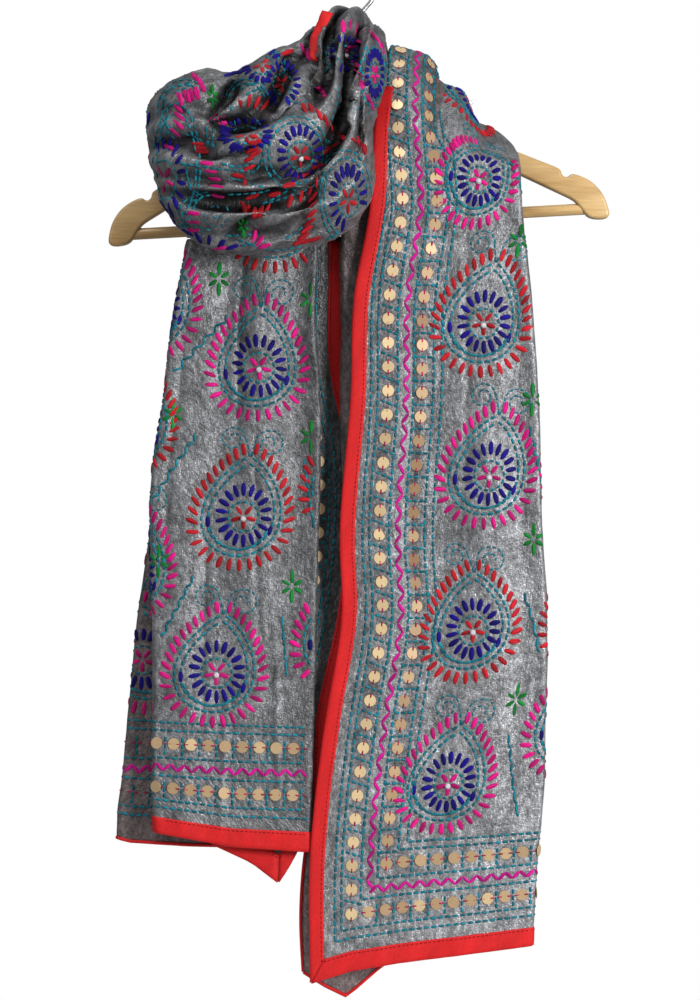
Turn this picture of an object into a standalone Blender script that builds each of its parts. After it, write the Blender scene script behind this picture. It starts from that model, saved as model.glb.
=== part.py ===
"""A grey phulkari shawl with a red edge tape, wound once round the neck of a wooden hanger.

Metres, +Z up, front towards -Y. The origin is the point where the hook bears on what it hangs from.
The cloth is one long strip. Its two hanging ends are folded lengthwise into layers; the stretch
between them runs over the right arm, behind the hook, round the left side, across the front as a
cowl, over behind the hook again and down. Tables are in millimetres.
"""

import math
from collections import namedtuple

import bmesh
import bpy
import numpy as np
from mathutils import Matrix, Vector

MM = 0.001

CLOTH_WALL = 1.6
TAPE_WALL = 2.6
SEAM_GAP = 0.3
WOUND_SEAM_GAP = 0.8
SIDE_TAPE = 12.0
HEM_TAPE = 17.0

FOLD_REACH = 4.5
TURN_STEPS = 4
HEM_DIP_REACH = 70.0

ARM_THICKNESS = 14.0
ARM_TILT = math.radians(3.2)
ARM_APEX = (-3.0, -105.0)
BAR_RADIUS = 5.2
BAR_DROP = 122.0
BAR_HALF = 211.0
BAR_SIDES = 24
BAR_SEAT_CLEARANCE = 0.3
WIRE_RADIUS = 2.0
HOOK_INNER_RADIUS = 16.0
HOOK_STEM = ((-2.4, -85.0), (-1.4, -62.0), (0.2, -47.0), (3.4, -39.5))
HOOK_ARC = (-48, 201, 15)

CLOTH_COLOUR = (0.31, 0.30, 0.30)
TAPE_COLOUR = (0.76, 0.03, 0.02)
WOOD_COLOUR = (0.58, 0.38, 0.17)
STEEL_COLOUR = (0.70, 0.70, 0.72)

# One row across a hanging end, at the height v above its hem: the face's open edge and its long fold,
# how much higher the cloth hangs at the fold than at the edge, and the depth of the face.
EndRow = namedtuple("EndRow", "v edge_x fold_x lift front_y")

RIGHT_HEM_Z = -905
RIGHT_ROWS = (
    EndRow(0, -39, 160, 24, -42),
    EndRow(100, -39, 166, 16, -44),
    EndRow(150, -35, 170, 8, -45),
    EndRow(220, -26, 172, 4, -45),
    EndRow(330, -10, 173, 0, -46),
    EndRow(380, -12, 170, -4, -47),
    EndRow(525, -2, 165, -5, -49),
    EndRow(600, 0, 160, -5, -50),
    EndRow(700, 16, 150, -5, -51),
    EndRow(734, 17, 149, -9, -50),
)

LEFT_HEM_Z = -797
LEFT_ROWS = (
    EndRow(0, -38, -181, 18, -42),
    EndRow(40, -38, -182, 10, -42),
    EndRow(180, -35, -182, 5, -42),
    EndRow(260, -33, -184, 0, -41),
    EndRow(340, -31, -183, 0, -41),
    EndRow(415, -31, -172, -5, -40),
    EndRow(470, -35, -166, -5, -40),
    EndRow(554, -33, -151, -3, -39),
)

# Across the right end: face, then three layers behind it, each turned back at its own x.
RightFolds = namedtuple("RightFolds", "v second_x third_x rear_x")

RIGHT_FOLDS = (
    RightFolds(0, -24, 152, -47),
    RightFolds(45, -26, 154, -49),
    RightFolds(96, -26, 158, -46),
    RightFolds(148, -22, 161, -37),
    RightFolds(219, -16, 164, -22),
    RightFolds(381, -6, 160, -2),
    RightFolds(453, -11, 156, 4),
    RightFolds(597, -9, 149, 12),
    RightFolds(660, -6, 144, 20),
    RightFolds(736, 6, 139, 28),
)

# Across the left end: a narrow strip with the edge lies behind the face, which it joins by a small
# inner fold; behind them a layer runs right, and the last two turn in a fold that stands out left.
LeftFolds = namedtuple("LeftFolds", "v strip_x inner_x second_x side_x rear_x")

LEFT_FOLDS = (
    LeftFolds(0, -69, -128, -62, -216, -92),
    LeftFolds(30, -50, -112, -56, -215, -82),
    LeftFolds(64, -30, -94, -50, -211, -76),
    LeftFolds(124, -24, -88, -46, -205, -74),
    LeftFolds(208, -19, -84, -44, -197, -72),
    LeftFolds(280, -13, -80, -42, -187, -70),
    LeftFolds(359, -7, -76, -42, -176, -70),
    LeftFolds(438, -12, -76, -44, -164, -70),
    LeftFolds(523, -11, -74, -44, -152, -72),
    LeftFolds(554, -11, -74, -44, -148, -72),
)

RIGHT_DEPTHS = (0, 9, 18, 27)
LEFT_DEPTHS = (14, 7, 0, 21, 33, 27)
RIGHT_STEPS = (12, 5, 5, 5)
LEFT_STEPS = (3, 3, 10, 4, 5, 4)

# How far the hem hangs below the straight line of its row: leg is the layer and how far across it.
Dip = namedtuple("Dip", "leg drop")

RIGHT_DIPS = (
    Dip(0.0, 10), Dip(0.18, 3), Dip(0.4, 1), Dip(1.0, 0),
    Dip(3.5, 0), Dip(3.62, 4), Dip(3.8, 31), Dip(3.9, 19), Dip(4.0, 4),
)
LEFT_DIPS = (
    Dip(0.0, 33), Dip(0.4, 18), Dip(1.0, 6), Dip(2.0, 0), Dip(2.5, 4), Dip(3.0, 0),
    Dip(4.5, 6), Dip(4.9, 12), Dip(5.1, 15), Dip(5.5, 12), Dip(6.0, 6),
)

# Long soft creases of the faces: leg as above, width as a share of the layer, depth towards the
# front, and the heights between which it runs.
Crease = namedtuple("Crease", "leg width depth low high")

RIGHT_CREASES = (
    Crease(0.22, 0.10, 3.0, -60, 700),
    Crease(0.48, 0.12, -4.0, 60, 760),
    Crease(0.74, 0.12, 4.0, -60, 640),
    Crease(0.90, 0.07, -3.0, 200, 760),
)
LEFT_CREASES = (
    Crease(2.12, 0.10, -4.0, 180, 700),
    Crease(2.38, 0.12, 5.0, 60, 700),
    Crease(2.62, 0.08, -5.0, 330, 700),
    Crease(2.80, 0.10, 3.0, -60, 420),
)

# The wound stretch: each station is a line across the strip from its edge (t) to its far side (b).
# Between them the cloth bulges outwards by bulge and rolls in behind them by roll.
Station = namedtuple("Station", "tx ty tz bx by bz bulge roll")

RIGHT_SHOULDER = (
    Station(17, -50, -170.1, 149, -50, -178.9, 0, 3),
    Station(20, -44, -134, 149, -35, -172, 2, 3),
    Station(27, -27, -92, 147, -18, -164, 3, 3),
    Station(34, -4, -67, 143, -2, -157, 3, 4),
    Station(38, 16, -76, 130, 15, -158, 5, 4),
)
NECK_BACK = (
    Station(16, 37, -94, 88, 36, -192, 9, 6),
    Station(-20, 46, -99, 16, 48, -224, 10, 7),
    Station(-70, 48, -101, -62, 52, -234, 10, 7),
    Station(-120, 40, -105, -118, 45, -226, 10, 7),
    Station(-156, 22, -110, -150, 24, -200, 9, 6),
    Station(-174, 3, -114, -166, 5, -188, 5, 4),
    Station(-181, -14, -117, -171, -14, -191, 5, 4),
)
COWL = (
    Station(-181, -46, -121, -164, -43, -219, 11, 7),
    Station(-162, -60, -107, -150, -68, -243, 29, 12),
    Station(-131, -70, -98, -123, -80, -260, 40, 14),
    Station(-109, -71, -101, -82, -84, -264, 44, 14),
    Station(-89, -69, -91, -38, -84, -256, 44, 14),
    Station(-71, -63, -79, -4, -80, -240, 40, 12),
    Station(-53, -55, -72, 16, -73, -206, 34, 10),
    Station(-40, -47, -61, 17, -68, -150, 26, 7),
    Station(-31, -38, -50, 28, -57, -104, 18, 4),
    Station(-22, -30, -42, 28, -36, -75, 9, 3),
)
HOOK_WRAP = (
    Station(9, -6, -42, 29, -6, -74, 5, 3),
    Station(2, 14, -47, 26, 17, -98, 5, 3),
    Station(-24, 16, -48, -6, 22, -126, 5, 3),
    Station(-36, 10, -48, -60, 19, -122, 5, 3),
    Station(-34, -2, -52, -82, 4, -98, 5, 3),
)
LEFT_SHOULDER = (
    Station(-28, -15, -86, -100, -14, -124, 4, 3),
    Station(-20, -20, -140, -132, -22, -160, 4, 3),
    Station(-14, -27, -205, -146, -34, -206, 4, 3),
    Station(-11, -28, -242, -151, -39, -245, 4, 3),
)

# Folds of the wound stretch: at is how far across the strip the fold lies at each station of its
# stretch, None where it has died out; rise is outwards.
Fold = namedtuple("Fold", "rise width at")

SHOULDER_FOLDS = (
    Fold(11, 0.14, (None, 0.24, 0.22, 0.22, 0.26)),
    Fold(-4, 0.05, (None, 0.42, 0.40, 0.38, 0.40)),
    Fold(6, 0.08, (None, 0.54, 0.54, 0.54, 0.54)),
    Fold(-6, 0.09, (None, 0.78, 0.76, 0.74, 0.72)),
)
BACK_FOLDS = (
    Fold(-7, 0.07, (0.22, 0.20, 0.20, 0.22, 0.24, None, None)),
    Fold(6, 0.07, (0.36, 0.36, 0.38, 0.40, 0.42, None, None)),
    Fold(-8, 0.07, (0.50, 0.54, 0.56, 0.56, 0.58, None, None)),
    Fold(6, 0.07, (0.68, 0.70, 0.74, 0.74, 0.74, None, None)),
    Fold(-5, 0.05, (None, 0.86, 0.87, 0.86, 0.84, None, None)),
)
COWL_FOLDS = (
    Fold(-13, 0.060, (None, 0.22, 0.26, 0.12, None, None, None, None, None, None)),
    Fold(9, 0.070, (None, 0.32, 0.34, 0.17, 0.08, None, None, None, None, None)),
    Fold(-16, 0.055, (None, 0.43, 0.44, 0.30, 0.24, 0.15, 0.12, 0.06, None, None)),
    Fold(7, 0.050, (None, None, None, None, 0.34, 0.33, 0.27, 0.17, 0.10, 0.06)),
    Fold(-9, 0.045, (None, None, None, None, None, 0.38, 0.34, 0.24, 0.18, 0.16)),
    Fold(11, 0.090, (None, 0.55, 0.56, 0.47, 0.46, 0.46, 0.43, 0.41, 0.34, 0.32)),
    Fold(-12, 0.045, (None, 0.63, 0.64, 0.62, 0.64, 0.61, 0.57, 0.56, 0.52, 0.50)),
    Fold(6, 0.040, (None, 0.68, 0.69, 0.68, 0.71, 0.69, 0.68, 0.69, 0.67, 0.67)),
    Fold(-9, 0.040, (None, 0.73, 0.74, 0.74, 0.78, None, None, None, None, None)),
    Fold(8, 0.050, (None, 0.83, 0.84, 0.83, 0.86, 0.86, 0.84, 0.84, None, None)),
    Fold(-6, 0.035, (None, 0.91, 0.92, 0.91, 0.93, None, None, None, None, None)),
)
WRAP_FOLDS = (
    Fold(-3, 0.09, (0.30, 0.30, 0.34, 0.36, 0.36)),
    Fold(3, 0.09, (0.60, 0.58, 0.60, 0.62, 0.64)),
)
LEFT_SHOULDER_FOLDS = (
    Fold(3, 0.08, (0.30, 0.30, 0.30, 0.30)),
    Fold(-3, 0.08, (0.60, 0.56, 0.54, 0.54)),
)

ROLL_ANGLE = math.radians(38)
WOUND_COLUMNS = 22
WOUND_STEPS = 2
RIM_FADE = 3.0

# Heights above the hem at which the hanging cloth has a row of points.
RIGHT_HEIGHTS = (
    30, 45, 70, 96, 122, 148, 184, 219, 258, 296, 332, 356, 381, 453, 525, 597, 660, 704,
)
LEFT_HEIGHTS = (36, 70, 109, 145, 181, 222, 262, 303, 343, 380, 415, 469, 523)

# The tape on the cowl's edge shows for a short stretch, from station to station at this share
# across the strip.
CowlTape = namedtuple("CowlTape", "station across")

COWL_TAPE = (
    CowlTape(5.75, 0.265),
    CowlTape(6.0, 0.235),
    CowlTape(6.5, 0.180),
    CowlTape(7.0, 0.130),
    CowlTape(8.25, 0.045),
)
COWL_TAPE_WIDTH = 11.0
COWL_TAPE_LIFT = 4.5
COWL_TAPE_COLUMNS = 5
COWL_TAPE_STEP = 0.25
TAPE_PROBE = 0.1

# One arm of the hanger, seen from the front, from the middle outwards: its outline from the apex.
ARM_TOP = (
    (0.0, 0.0), (14.0, -2.0), (30.0, -10.0), (90.0, -40.0), (144.0, -65.0), (186.5, -84.5),
    (187.5, -90.5), (192.0, -93.0), (196.5, -89.0), (208.0, -93.5), (217.0, -100.0),
    (225.0, -111.5), (229.0, -126.0), (228.0, -131.0),
)
ARM_UNDERSIDE = (
    (221.0, -132.5), (209.0, -130.5), (198.0, -114.0), (148.0, -87.0), (90.0, -57.0),
    (40.0, -35.0), (16.0, -27.0), (0.0, -25.0),
)
ARM_EDGE_ROUND = 2.0


def clear_scene():
    for thing in list(bpy.data.objects):
        bpy.data.objects.remove(thing, do_unlink=True)


def finish(name, colour, roughness, metallic=0.0):
    material = bpy.data.materials.new(name)
    material.use_nodes = True
    shader = material.node_tree.nodes["Principled BSDF"]
    shader.inputs["Base Color"].default_value = (*colour, 1.0)
    shader.inputs["Roughness"].default_value = roughness
    shader.inputs["Metallic"].default_value = metallic
    return material


def keep_mesh(name, bm, material, smooth=True):
    mesh = bpy.data.meshes.new(name)
    bm.to_mesh(mesh)
    bm.free()
    thing = bpy.data.objects.new(name, mesh)
    thing.data.materials.append(material)
    bpy.context.scene.collection.objects.link(thing)
    if smooth:
        mesh.shade_smooth()
        mesh.set_sharp_from_angle(angle=math.radians(45))
    return thing


def sheet(name, points, wall, material):
    """A grid of points (rows, columns, xyz in mm) as a wall of even thickness about them."""
    rows, columns = points.shape[:2]
    bm = bmesh.new()
    bmesh.ops.create_grid(bm, x_segments=columns - 1, y_segments=rows - 1, size=0.5)
    for vertex in bm.verts:
        column = round((vertex.co.x + 0.5) * (columns - 1))
        row = round((vertex.co.y + 0.5) * (rows - 1))
        vertex.co = Vector(points[row, column]) * MM
    thing = keep_mesh(name, bm, material)
    solidify = thing.modifiers.new("wall", "SOLIDIFY")
    solidify.thickness = wall * MM
    solidify.offset = 0.0
    return thing


def smooth_rows(at, values, wanted):
    """Values given at rising places, read at others along one smooth curve through them."""
    at = np.asarray(at, float)
    values = np.asarray(values, float)
    slopes = np.gradient(values, at, axis=0)
    place = np.clip(np.searchsorted(at, wanted, side="right") - 1, 0, len(at) - 2)
    step = at[place + 1] - at[place]
    t = (wanted - at[place]) / step
    spread = (slice(None),) + (None,) * (values.ndim - 1)
    t = t[spread]
    step = step[spread]
    return (
        (2 * t**3 - 3 * t**2 + 1) * values[place]
        + (t**3 - 2 * t**2 + t) * step * slopes[place]
        + (3 * t**2 - 2 * t**3) * values[place + 1]
        + (t**3 - t**2) * step * slopes[place + 1]
    )


def table(rows, wanted):
    """A table's columns at the wanted values of its first column, as one named row each."""
    read = smooth_rows([row[0] for row in rows], [row[1:] for row in rows], np.asarray(wanted, float))
    return [type(rows[0])(v, *line) for v, line in zip(wanted, read)]


def folded_line(turns, depths, steps):
    """One row across a folded end: (x, depth, leg) for each column. turns holds the x where each
    layer starts and ends. The first and last three columns are those of the edge tapes."""
    line = []
    last = len(depths) - 1
    tape_widths = [0.0, SIDE_TAPE / 2, SIDE_TAPE]
    for layer, depth in enumerate(depths):
        span = turns[layer + 1] - turns[layer]
        heading = math.copysign(1.0, span)
        start = FOLD_REACH if layer else SIDE_TAPE + SEAM_GAP
        end = FOLD_REACH if layer < last else SIDE_TAPE + SEAM_GAP
        ways = list(np.linspace(start, abs(span) - end, steps[layer] + 1))
        if layer == 0:
            ways = tape_widths + ways
        if layer == last:
            ways += [abs(span) - width for width in reversed(tape_widths)]
        line += [(turns[layer] + heading * way, depth, layer + way / abs(span)) for way in ways]
        if layer == last:
            continue
        rise = depths[layer + 1] - depth
        for step in range(1, TURN_STEPS):
            angle = math.pi * step / TURN_STEPS
            x = turns[layer + 1] - heading * FOLD_REACH * (1 - math.sin(angle))
            line.append((x, depth + rise * (1 - math.cos(angle)) / 2, layer + 1))
    return line


def crease_depth(creases, leg, v):
    """How far the creases push the cloth towards the front at a place on it."""
    total = 0.0
    for crease in creases:
        if not crease.low < v < crease.high:
            continue
        along = math.sin(math.pi * (v - crease.low) / (crease.high - crease.low))
        total += crease.depth * along * math.exp(-(((leg - crease.leg) / crease.width) ** 2))
    return total


def end_points(hem_z, rows, turns_of, depths, steps, dips, creases, heights):
    """Points of a hanging end: one row for each height, one column for each place across it."""
    grid = []
    for row in table(rows, heights):
        slope = row.lift / (row.fold_x - row.edge_x)
        fade = math.exp(-((row.v / HEM_DIP_REACH) ** 2))
        line = []
        for x, depth, leg in folded_line(turns_of(row), depths, steps):
            drop = fade * np.interp(leg, [dip.leg for dip in dips], [dip.drop for dip in dips])
            z = hem_z + row.v + slope * (x - row.edge_x) - drop
            line.append((x, row.front_y + depth - crease_depth(creases, leg, row.v), z))
        grid.append(line)
    return np.array(grid)


def right_turns(row):
    folds = table(RIGHT_FOLDS, [row.v])[0]
    return (row.edge_x, row.fold_x, folds.second_x, folds.third_x, folds.rear_x)


def left_turns(row):
    folds = table(LEFT_FOLDS, [row.v])[0]
    return (
        folds.strip_x, folds.inner_x, row.edge_x, row.fold_x,
        folds.second_x, folds.side_x, folds.rear_x,
    )


def right_end(heights):
    return end_points(
        RIGHT_HEM_Z, RIGHT_ROWS, right_turns, RIGHT_DEPTHS, RIGHT_STEPS,
        RIGHT_DIPS, RIGHT_CREASES, heights,
    )


def left_end(heights):
    return end_points(
        LEFT_HEM_Z, LEFT_ROWS, left_turns, LEFT_DEPTHS, LEFT_STEPS,
        LEFT_DIPS, LEFT_CREASES, heights,
    )


def unit(vectors):
    return vectors / np.linalg.norm(vectors, axis=-1, keepdims=True)


STRETCHES = (
    (RIGHT_SHOULDER, SHOULDER_FOLDS),
    (NECK_BACK, BACK_FOLDS),
    (COWL, COWL_FOLDS),
    (HOOK_WRAP, WRAP_FOLDS),
    (LEFT_SHOULDER, LEFT_SHOULDER_FOLDS),
)


def fold_rise(across, wanted):
    """How far the folds of every stretch lift the cloth at each wanted station and place across."""
    total = np.zeros((len(wanted), len(across)))
    first = 0
    for stations, folds in STRETCHES:
        last = first + len(stations) - 1
        for fold in folds:
            known = [(first + i, at) for i, at in enumerate(fold.at) if at is not None]
            places = [place for place, at in known]
            centre = np.interp(wanted, places, [at for place, at in known])
            outside = np.maximum(places[0] - wanted, wanted - places[-1])
            strength = fold.rise * np.clip(1.0 - outside, 0.0, 1.0)
            total += strength[:, None] * np.exp(-(((across - centre[:, None]) / fold.width) ** 2))
        first = last + 1
    return total


def wound_points(wanted, angles):
    """Points of the wound stretch at the wanted stations (0 for the first of RIGHT_SHOULDER), and at
    the angles of its rounded section: 0 at the edge, pi at the far side, past them the rolls."""
    wanted = np.asarray(wanted, float)
    angles = np.asarray(angles, float)
    stations = np.array([station for stretch, folds in STRETCHES for station in stretch], float)
    at = np.arange(len(stations))
    read = smooth_rows(at, stations, wanted)
    top, bottom, bulge, roll = read[:, 0:3], read[:, 3:6], read[:, 6], read[:, 7]
    middle = (stations[:, 0:3] + stations[:, 3:6]) / 2
    travel = smooth_rows(at, np.gradient(middle, axis=0), wanted)
    outward = unit(np.cross(unit(bottom - top), unit(travel)))
    across = (1 - np.cos(angles)) / 2
    front = (angles >= 0) & (angles <= math.pi)
    lift = np.where(front, bulge[:, None], roll[:, None]) * np.sin(angles)
    lift += np.where(front, fold_rise(across, wanted) * np.clip(RIM_FADE * np.sin(angles), 0, 1), 0.0)
    along = top[:, None, :] + (bottom - top)[:, None, :] * across[None, :, None]
    return along + outward[:, None, :] * lift[:, :, None]


def stations_between(first, last, steps_each):
    return np.linspace(first, last, round((last - first) * steps_each) + 1)


def hanging_end(side, points_at, heights, cloth, tape):
    """The cloth of a hanging end, the tapes along its two edges and the one round its hem."""
    body = points_at([HEM_TAPE + SEAM_GAP] + heights)
    sheet(f"{side}_tail", body[:, 3:-3], CLOTH_WALL, cloth)
    sheet(f"{side}_edge_tape", body[:, :3], TAPE_WALL, tape)
    sheet(f"{side}_rear_edge_tape", body[:, -3:], TAPE_WALL, tape)
    sheet(f"{side}_hem_tape", points_at([0, HEM_TAPE]), TAPE_WALL, tape)


def right_tail(cloth, tape):
    top = RIGHT_ROWS[-1].v - SEAM_GAP / 2
    hanging_end("right", right_end, [*RIGHT_HEIGHTS, top], cloth, tape)


def left_tail(cloth, tape):
    top = LEFT_ROWS[-1].v - SEAM_GAP / 2
    hanging_end("left", left_end, [*LEFT_HEIGHTS, top], cloth, tape)


def wound_angles():
    return np.linspace(-ROLL_ANGLE, math.pi + ROLL_ANGLE, WOUND_COLUMNS + 1)


def wound_stretch(cloth):
    angles = wound_angles()
    names = ("right_shoulder", "neck_back", "cowl", "hook_wrap", "left_shoulder")
    first = 0
    for name, (stations, folds) in zip(names, STRETCHES):
        last = first + len(stations) - (1 if name == "left_shoulder" else 0)
        wanted = stations_between(first, last, WOUND_STEPS)
        points = wound_points(wanted, angles)
        if name != "left_shoulder":
            points[-1] -= unit(points[-1] - points[-2]) * WOUND_SEAM_GAP
        sheet(name, points, CLOTH_WALL, cloth)
        first = last


def on_facets(grid, stations, angles, place, angle):
    """A point of the cowl's own facets, read straight from the grid they are made of."""
    row = min(max(np.searchsorted(stations, place, side="right") - 1, 0), len(stations) - 2)
    column = min(max(np.searchsorted(angles, angle, side="right") - 1, 0), len(angles) - 2)
    down = (place - stations[row]) / (stations[row + 1] - stations[row])
    along = (angle - angles[column]) / (angles[column + 1] - angles[column])
    near = grid[row, column] * (1 - along) + grid[row, column + 1] * along
    far = grid[row + 1, column] * (1 - along) + grid[row + 1, column + 1] * along
    return near * (1 - down) + far * down


def cowl_tape(tape):
    """The length of edge tape that shows at the cowl's upper edge, laid on the cloth."""
    first = len(RIGHT_SHOULDER) + len(NECK_BACK)
    stations = stations_between(first, first + len(COWL), WOUND_STEPS)
    angles = wound_angles()
    grid = wound_points(stations, angles)

    def seat(place, angle):
        return on_facets(grid, stations, angles, place, angle)

    def sideways(place, angle, reach):
        return seat(place, angle + reach) - seat(place, angle - reach)

    steps = round((COWL_TAPE[-1].station - COWL_TAPE[0].station) / COWL_TAPE_STEP)
    lines = []
    for row in table(COWL_TAPE, COWL_TAPE[0].station + COWL_TAPE_STEP * np.arange(steps + 1)):
        place = first + row.station
        middle = math.acos(1 - 2 * row.across)
        half = TAPE_PROBE * COWL_TAPE_WIDTH / np.linalg.norm(sideways(place, middle, TAPE_PROBE))
        line = []
        for angle in np.linspace(middle - half, middle + half, COWL_TAPE_COLUMNS):
            onward = seat(place + TAPE_PROBE, angle) - seat(place - TAPE_PROBE, angle)
            outward = unit(np.cross(sideways(place, angle, TAPE_PROBE / 2), onward))
            line.append(seat(place, angle) + outward * COWL_TAPE_LIFT)
        lines.append(line)
    sheet("cowl_edge_tape", np.array(lines), TAPE_WALL, tape)


def arm_outline():
    right = list(ARM_TOP) + list(ARM_UNDERSIDE)
    left = [(-x, z) for x, z in reversed(right[1:-1])]
    return right + left


def hanger_place():
    turn = Matrix.Rotation(-ARM_TILT, 4, "Y")
    return Matrix.Translation((ARM_APEX[0] * MM, 0.0, ARM_APEX[1] * MM)) @ turn


def round_bar(radius, half_length):
    bm = bmesh.new()
    bmesh.ops.create_cone(
        bm, cap_ends=True, segments=BAR_SIDES, radius1=radius * MM, radius2=radius * MM,
        depth=2 * half_length * MM,
        matrix=Matrix.Translation((0, 0, -BAR_DROP * MM)) @ Matrix.Rotation(math.pi / 2, 4, "Y"),
    )
    bm.transform(hanger_place())
    return bm


def hanger_arms(wood):
    bm = bmesh.new()
    outline = [bm.verts.new((x * MM, -ARM_THICKNESS / 2 * MM, z * MM)) for x, z in arm_outline()]
    face = bm.faces.new(outline)
    swept = bmesh.ops.extrude_face_region(bm, geom=[face])
    moved = [item for item in swept["geom"] if isinstance(item, bmesh.types.BMVert)]
    bmesh.ops.translate(bm, verts=moved, vec=(0, ARM_THICKNESS * MM, 0))
    bmesh.ops.recalc_face_normals(bm, faces=bm.faces)
    rims = [edge for edge in bm.edges if edge.verts[0].co.y * edge.verts[1].co.y > 0]
    bmesh.ops.bevel(
        bm, geom=rims, offset=ARM_EDGE_ROUND * MM, offset_type="OFFSET", segments=1, profile=0.5,
        affect="EDGES", material=-1,
    )
    bm.transform(hanger_place())
    arms = keep_mesh("hanger_arms", bm, wood)
    cutter = keep_mesh(
        "bar_seat_cutter",
        round_bar(BAR_RADIUS + BAR_SEAT_CLEARANCE, BAR_HALF + BAR_SEAT_CLEARANCE),
        wood,
    )
    cutter.hide_render = True
    cutter.display_type = "WIRE"
    seat = arms.modifiers.new("bar_seats", "BOOLEAN")
    seat.operation = "DIFFERENCE"
    seat.solver = "EXACT"
    seat.object = cutter


def hanger_bar(wood):
    keep_mesh("hanger_bar", round_bar(BAR_RADIUS, BAR_HALF), wood)


def hook_route():
    """The wire's centre line: up from the arms, over in a neck bend, then round to the open tip."""
    radius = HOOK_INNER_RADIUS + WIRE_RADIUS
    centre_z = -HOOK_INNER_RADIUS
    route = [(ARM_APEX[0], ARM_APEX[1] + SEAM_GAP), *HOOK_STEM]
    for degrees in range(*HOOK_ARC):
        angle = math.radians(degrees)
        route.append((radius * math.cos(angle), centre_z + radius * math.sin(angle)))
    return route


def hanger_hook(steel):
    route = hook_route()
    curve = bpy.data.curves.new("hanger_hook", "CURVE")
    curve.dimensions = "3D"
    curve.bevel_depth = WIRE_RADIUS * MM
    curve.bevel_resolution = 2
    curve.use_fill_caps = True
    spline = curve.splines.new("POLY")
    spline.points.add(len(route) - 1)
    for point, (x, z) in zip(spline.points, route):
        point.co = (x * MM, 0.0, z * MM, 1.0)
    curve.materials.append(steel)
    hook = bpy.data.objects.new("hanger_hook", curve)
    bpy.context.scene.collection.objects.link(hook)


def main():
    clear_scene()
    cloth = finish("grey_silk", CLOTH_COLOUR, 0.45)
    tape = finish("red_tape", TAPE_COLOUR, 0.75)
    wood = finish("pale_wood", WOOD_COLOUR, 0.45)
    steel = finish("bright_steel", STEEL_COLOUR, 0.25, metallic=1.0)
    hanger_arms(wood)
    hanger_bar(wood)
    hanger_hook(steel)
    right_tail(cloth, tape)
    left_tail(cloth, tape)
    wound_stretch(cloth)
    cowl_tape(tape)


main()
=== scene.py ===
"""The looks of a grey phulkari shawl with a red edge tape, wound round the neck of a wooden hanger.

The cloth's rows, folds and stations are in millimetres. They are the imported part's, but for the left
end's strip, which lies a little further right, and the folds round the cowl's left turn, which are
shallower. The cloth is drawn finer here and with its creases, and every stitch, sequin and stone is
a mesh that lies on it. u is a place across the strip from its taped edge, v a place along it.
"""

import math
import random
from collections import namedtuple

import bmesh
import bpy
import numpy as np
from mathutils import Matrix, Vector, noise
from mathutils.bvhtree import BVHTree


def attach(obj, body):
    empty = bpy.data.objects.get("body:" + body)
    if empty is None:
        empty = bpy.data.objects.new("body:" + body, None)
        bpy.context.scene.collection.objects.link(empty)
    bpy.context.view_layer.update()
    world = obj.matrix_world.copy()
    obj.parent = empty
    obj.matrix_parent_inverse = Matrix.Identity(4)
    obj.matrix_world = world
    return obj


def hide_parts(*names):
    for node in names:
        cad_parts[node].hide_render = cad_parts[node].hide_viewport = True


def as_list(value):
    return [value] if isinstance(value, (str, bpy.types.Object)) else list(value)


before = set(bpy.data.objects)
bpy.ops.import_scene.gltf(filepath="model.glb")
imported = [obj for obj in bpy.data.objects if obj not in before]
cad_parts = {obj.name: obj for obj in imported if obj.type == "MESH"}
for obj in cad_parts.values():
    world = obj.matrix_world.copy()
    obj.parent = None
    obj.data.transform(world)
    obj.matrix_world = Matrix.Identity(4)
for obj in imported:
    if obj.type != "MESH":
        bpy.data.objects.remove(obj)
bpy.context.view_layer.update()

MM = 0.001

# ---- the cloth's own sizes -------------------------------------------------------------------------

CLOTH_WALL = 0.8
TAPE_WALL = 0.7
SIDE_TAPE = 12.0
HEM_TAPE = 17.0
FOLD_REACH = 4.5
TURN_STEPS = 8
HEM_DIP_REACH = 70.0

# One row across a hanging end, at the height v above its hem: the face's open edge and its long fold,
# how much higher the cloth hangs at the fold than at the edge, and the depth of the face.
EndRow = namedtuple("EndRow", "v edge_x fold_x lift front_y")

RIGHT_HEM_Z = -905
RIGHT_ROWS = (
    EndRow(0, -39, 160, 24, -42),
    EndRow(100, -39, 166, 16, -44),
    EndRow(150, -35, 170, 8, -45),
    EndRow(220, -26, 172, 4, -45),
    EndRow(330, -10, 173, 0, -46),
    EndRow(380, -12, 170, -4, -47),
    EndRow(525, -2, 165, -5, -49),
    EndRow(600, 0, 160, -5, -50),
    EndRow(700, 16, 150, -5, -51),
    EndRow(734, 17, 149, -9, -50),
)

LEFT_HEM_Z = -797
LEFT_ROWS = (
    EndRow(0, -38, -181, 18, -42),
    EndRow(40, -38, -182, 10, -42),
    EndRow(180, -35, -182, 5, -42),
    EndRow(260, -33, -184, 0, -41),
    EndRow(340, -31, -183, 0, -41),
    EndRow(415, -31, -172, -5, -40),
    EndRow(470, -35, -166, -5, -40),
    EndRow(554, -33, -151, -3, -39),
)

RightFolds = namedtuple("RightFolds", "v second_x third_x rear_x")

RIGHT_FOLDS = (
    RightFolds(0, -24, 152, -47),
    RightFolds(45, -26, 154, -49),
    RightFolds(96, -26, 158, -46),
    RightFolds(148, -22, 161, -37),
    RightFolds(219, -16, 164, -22),
    RightFolds(381, -6, 160, -2),
    RightFolds(453, -11, 156, 4),
    RightFolds(597, -12, 149, 12),
    RightFolds(660, -12, 144, 20),
    RightFolds(736, 6, 139, 28),
)

LeftFolds = namedtuple("LeftFolds", "v strip_x inner_x second_x side_x rear_x")

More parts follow.
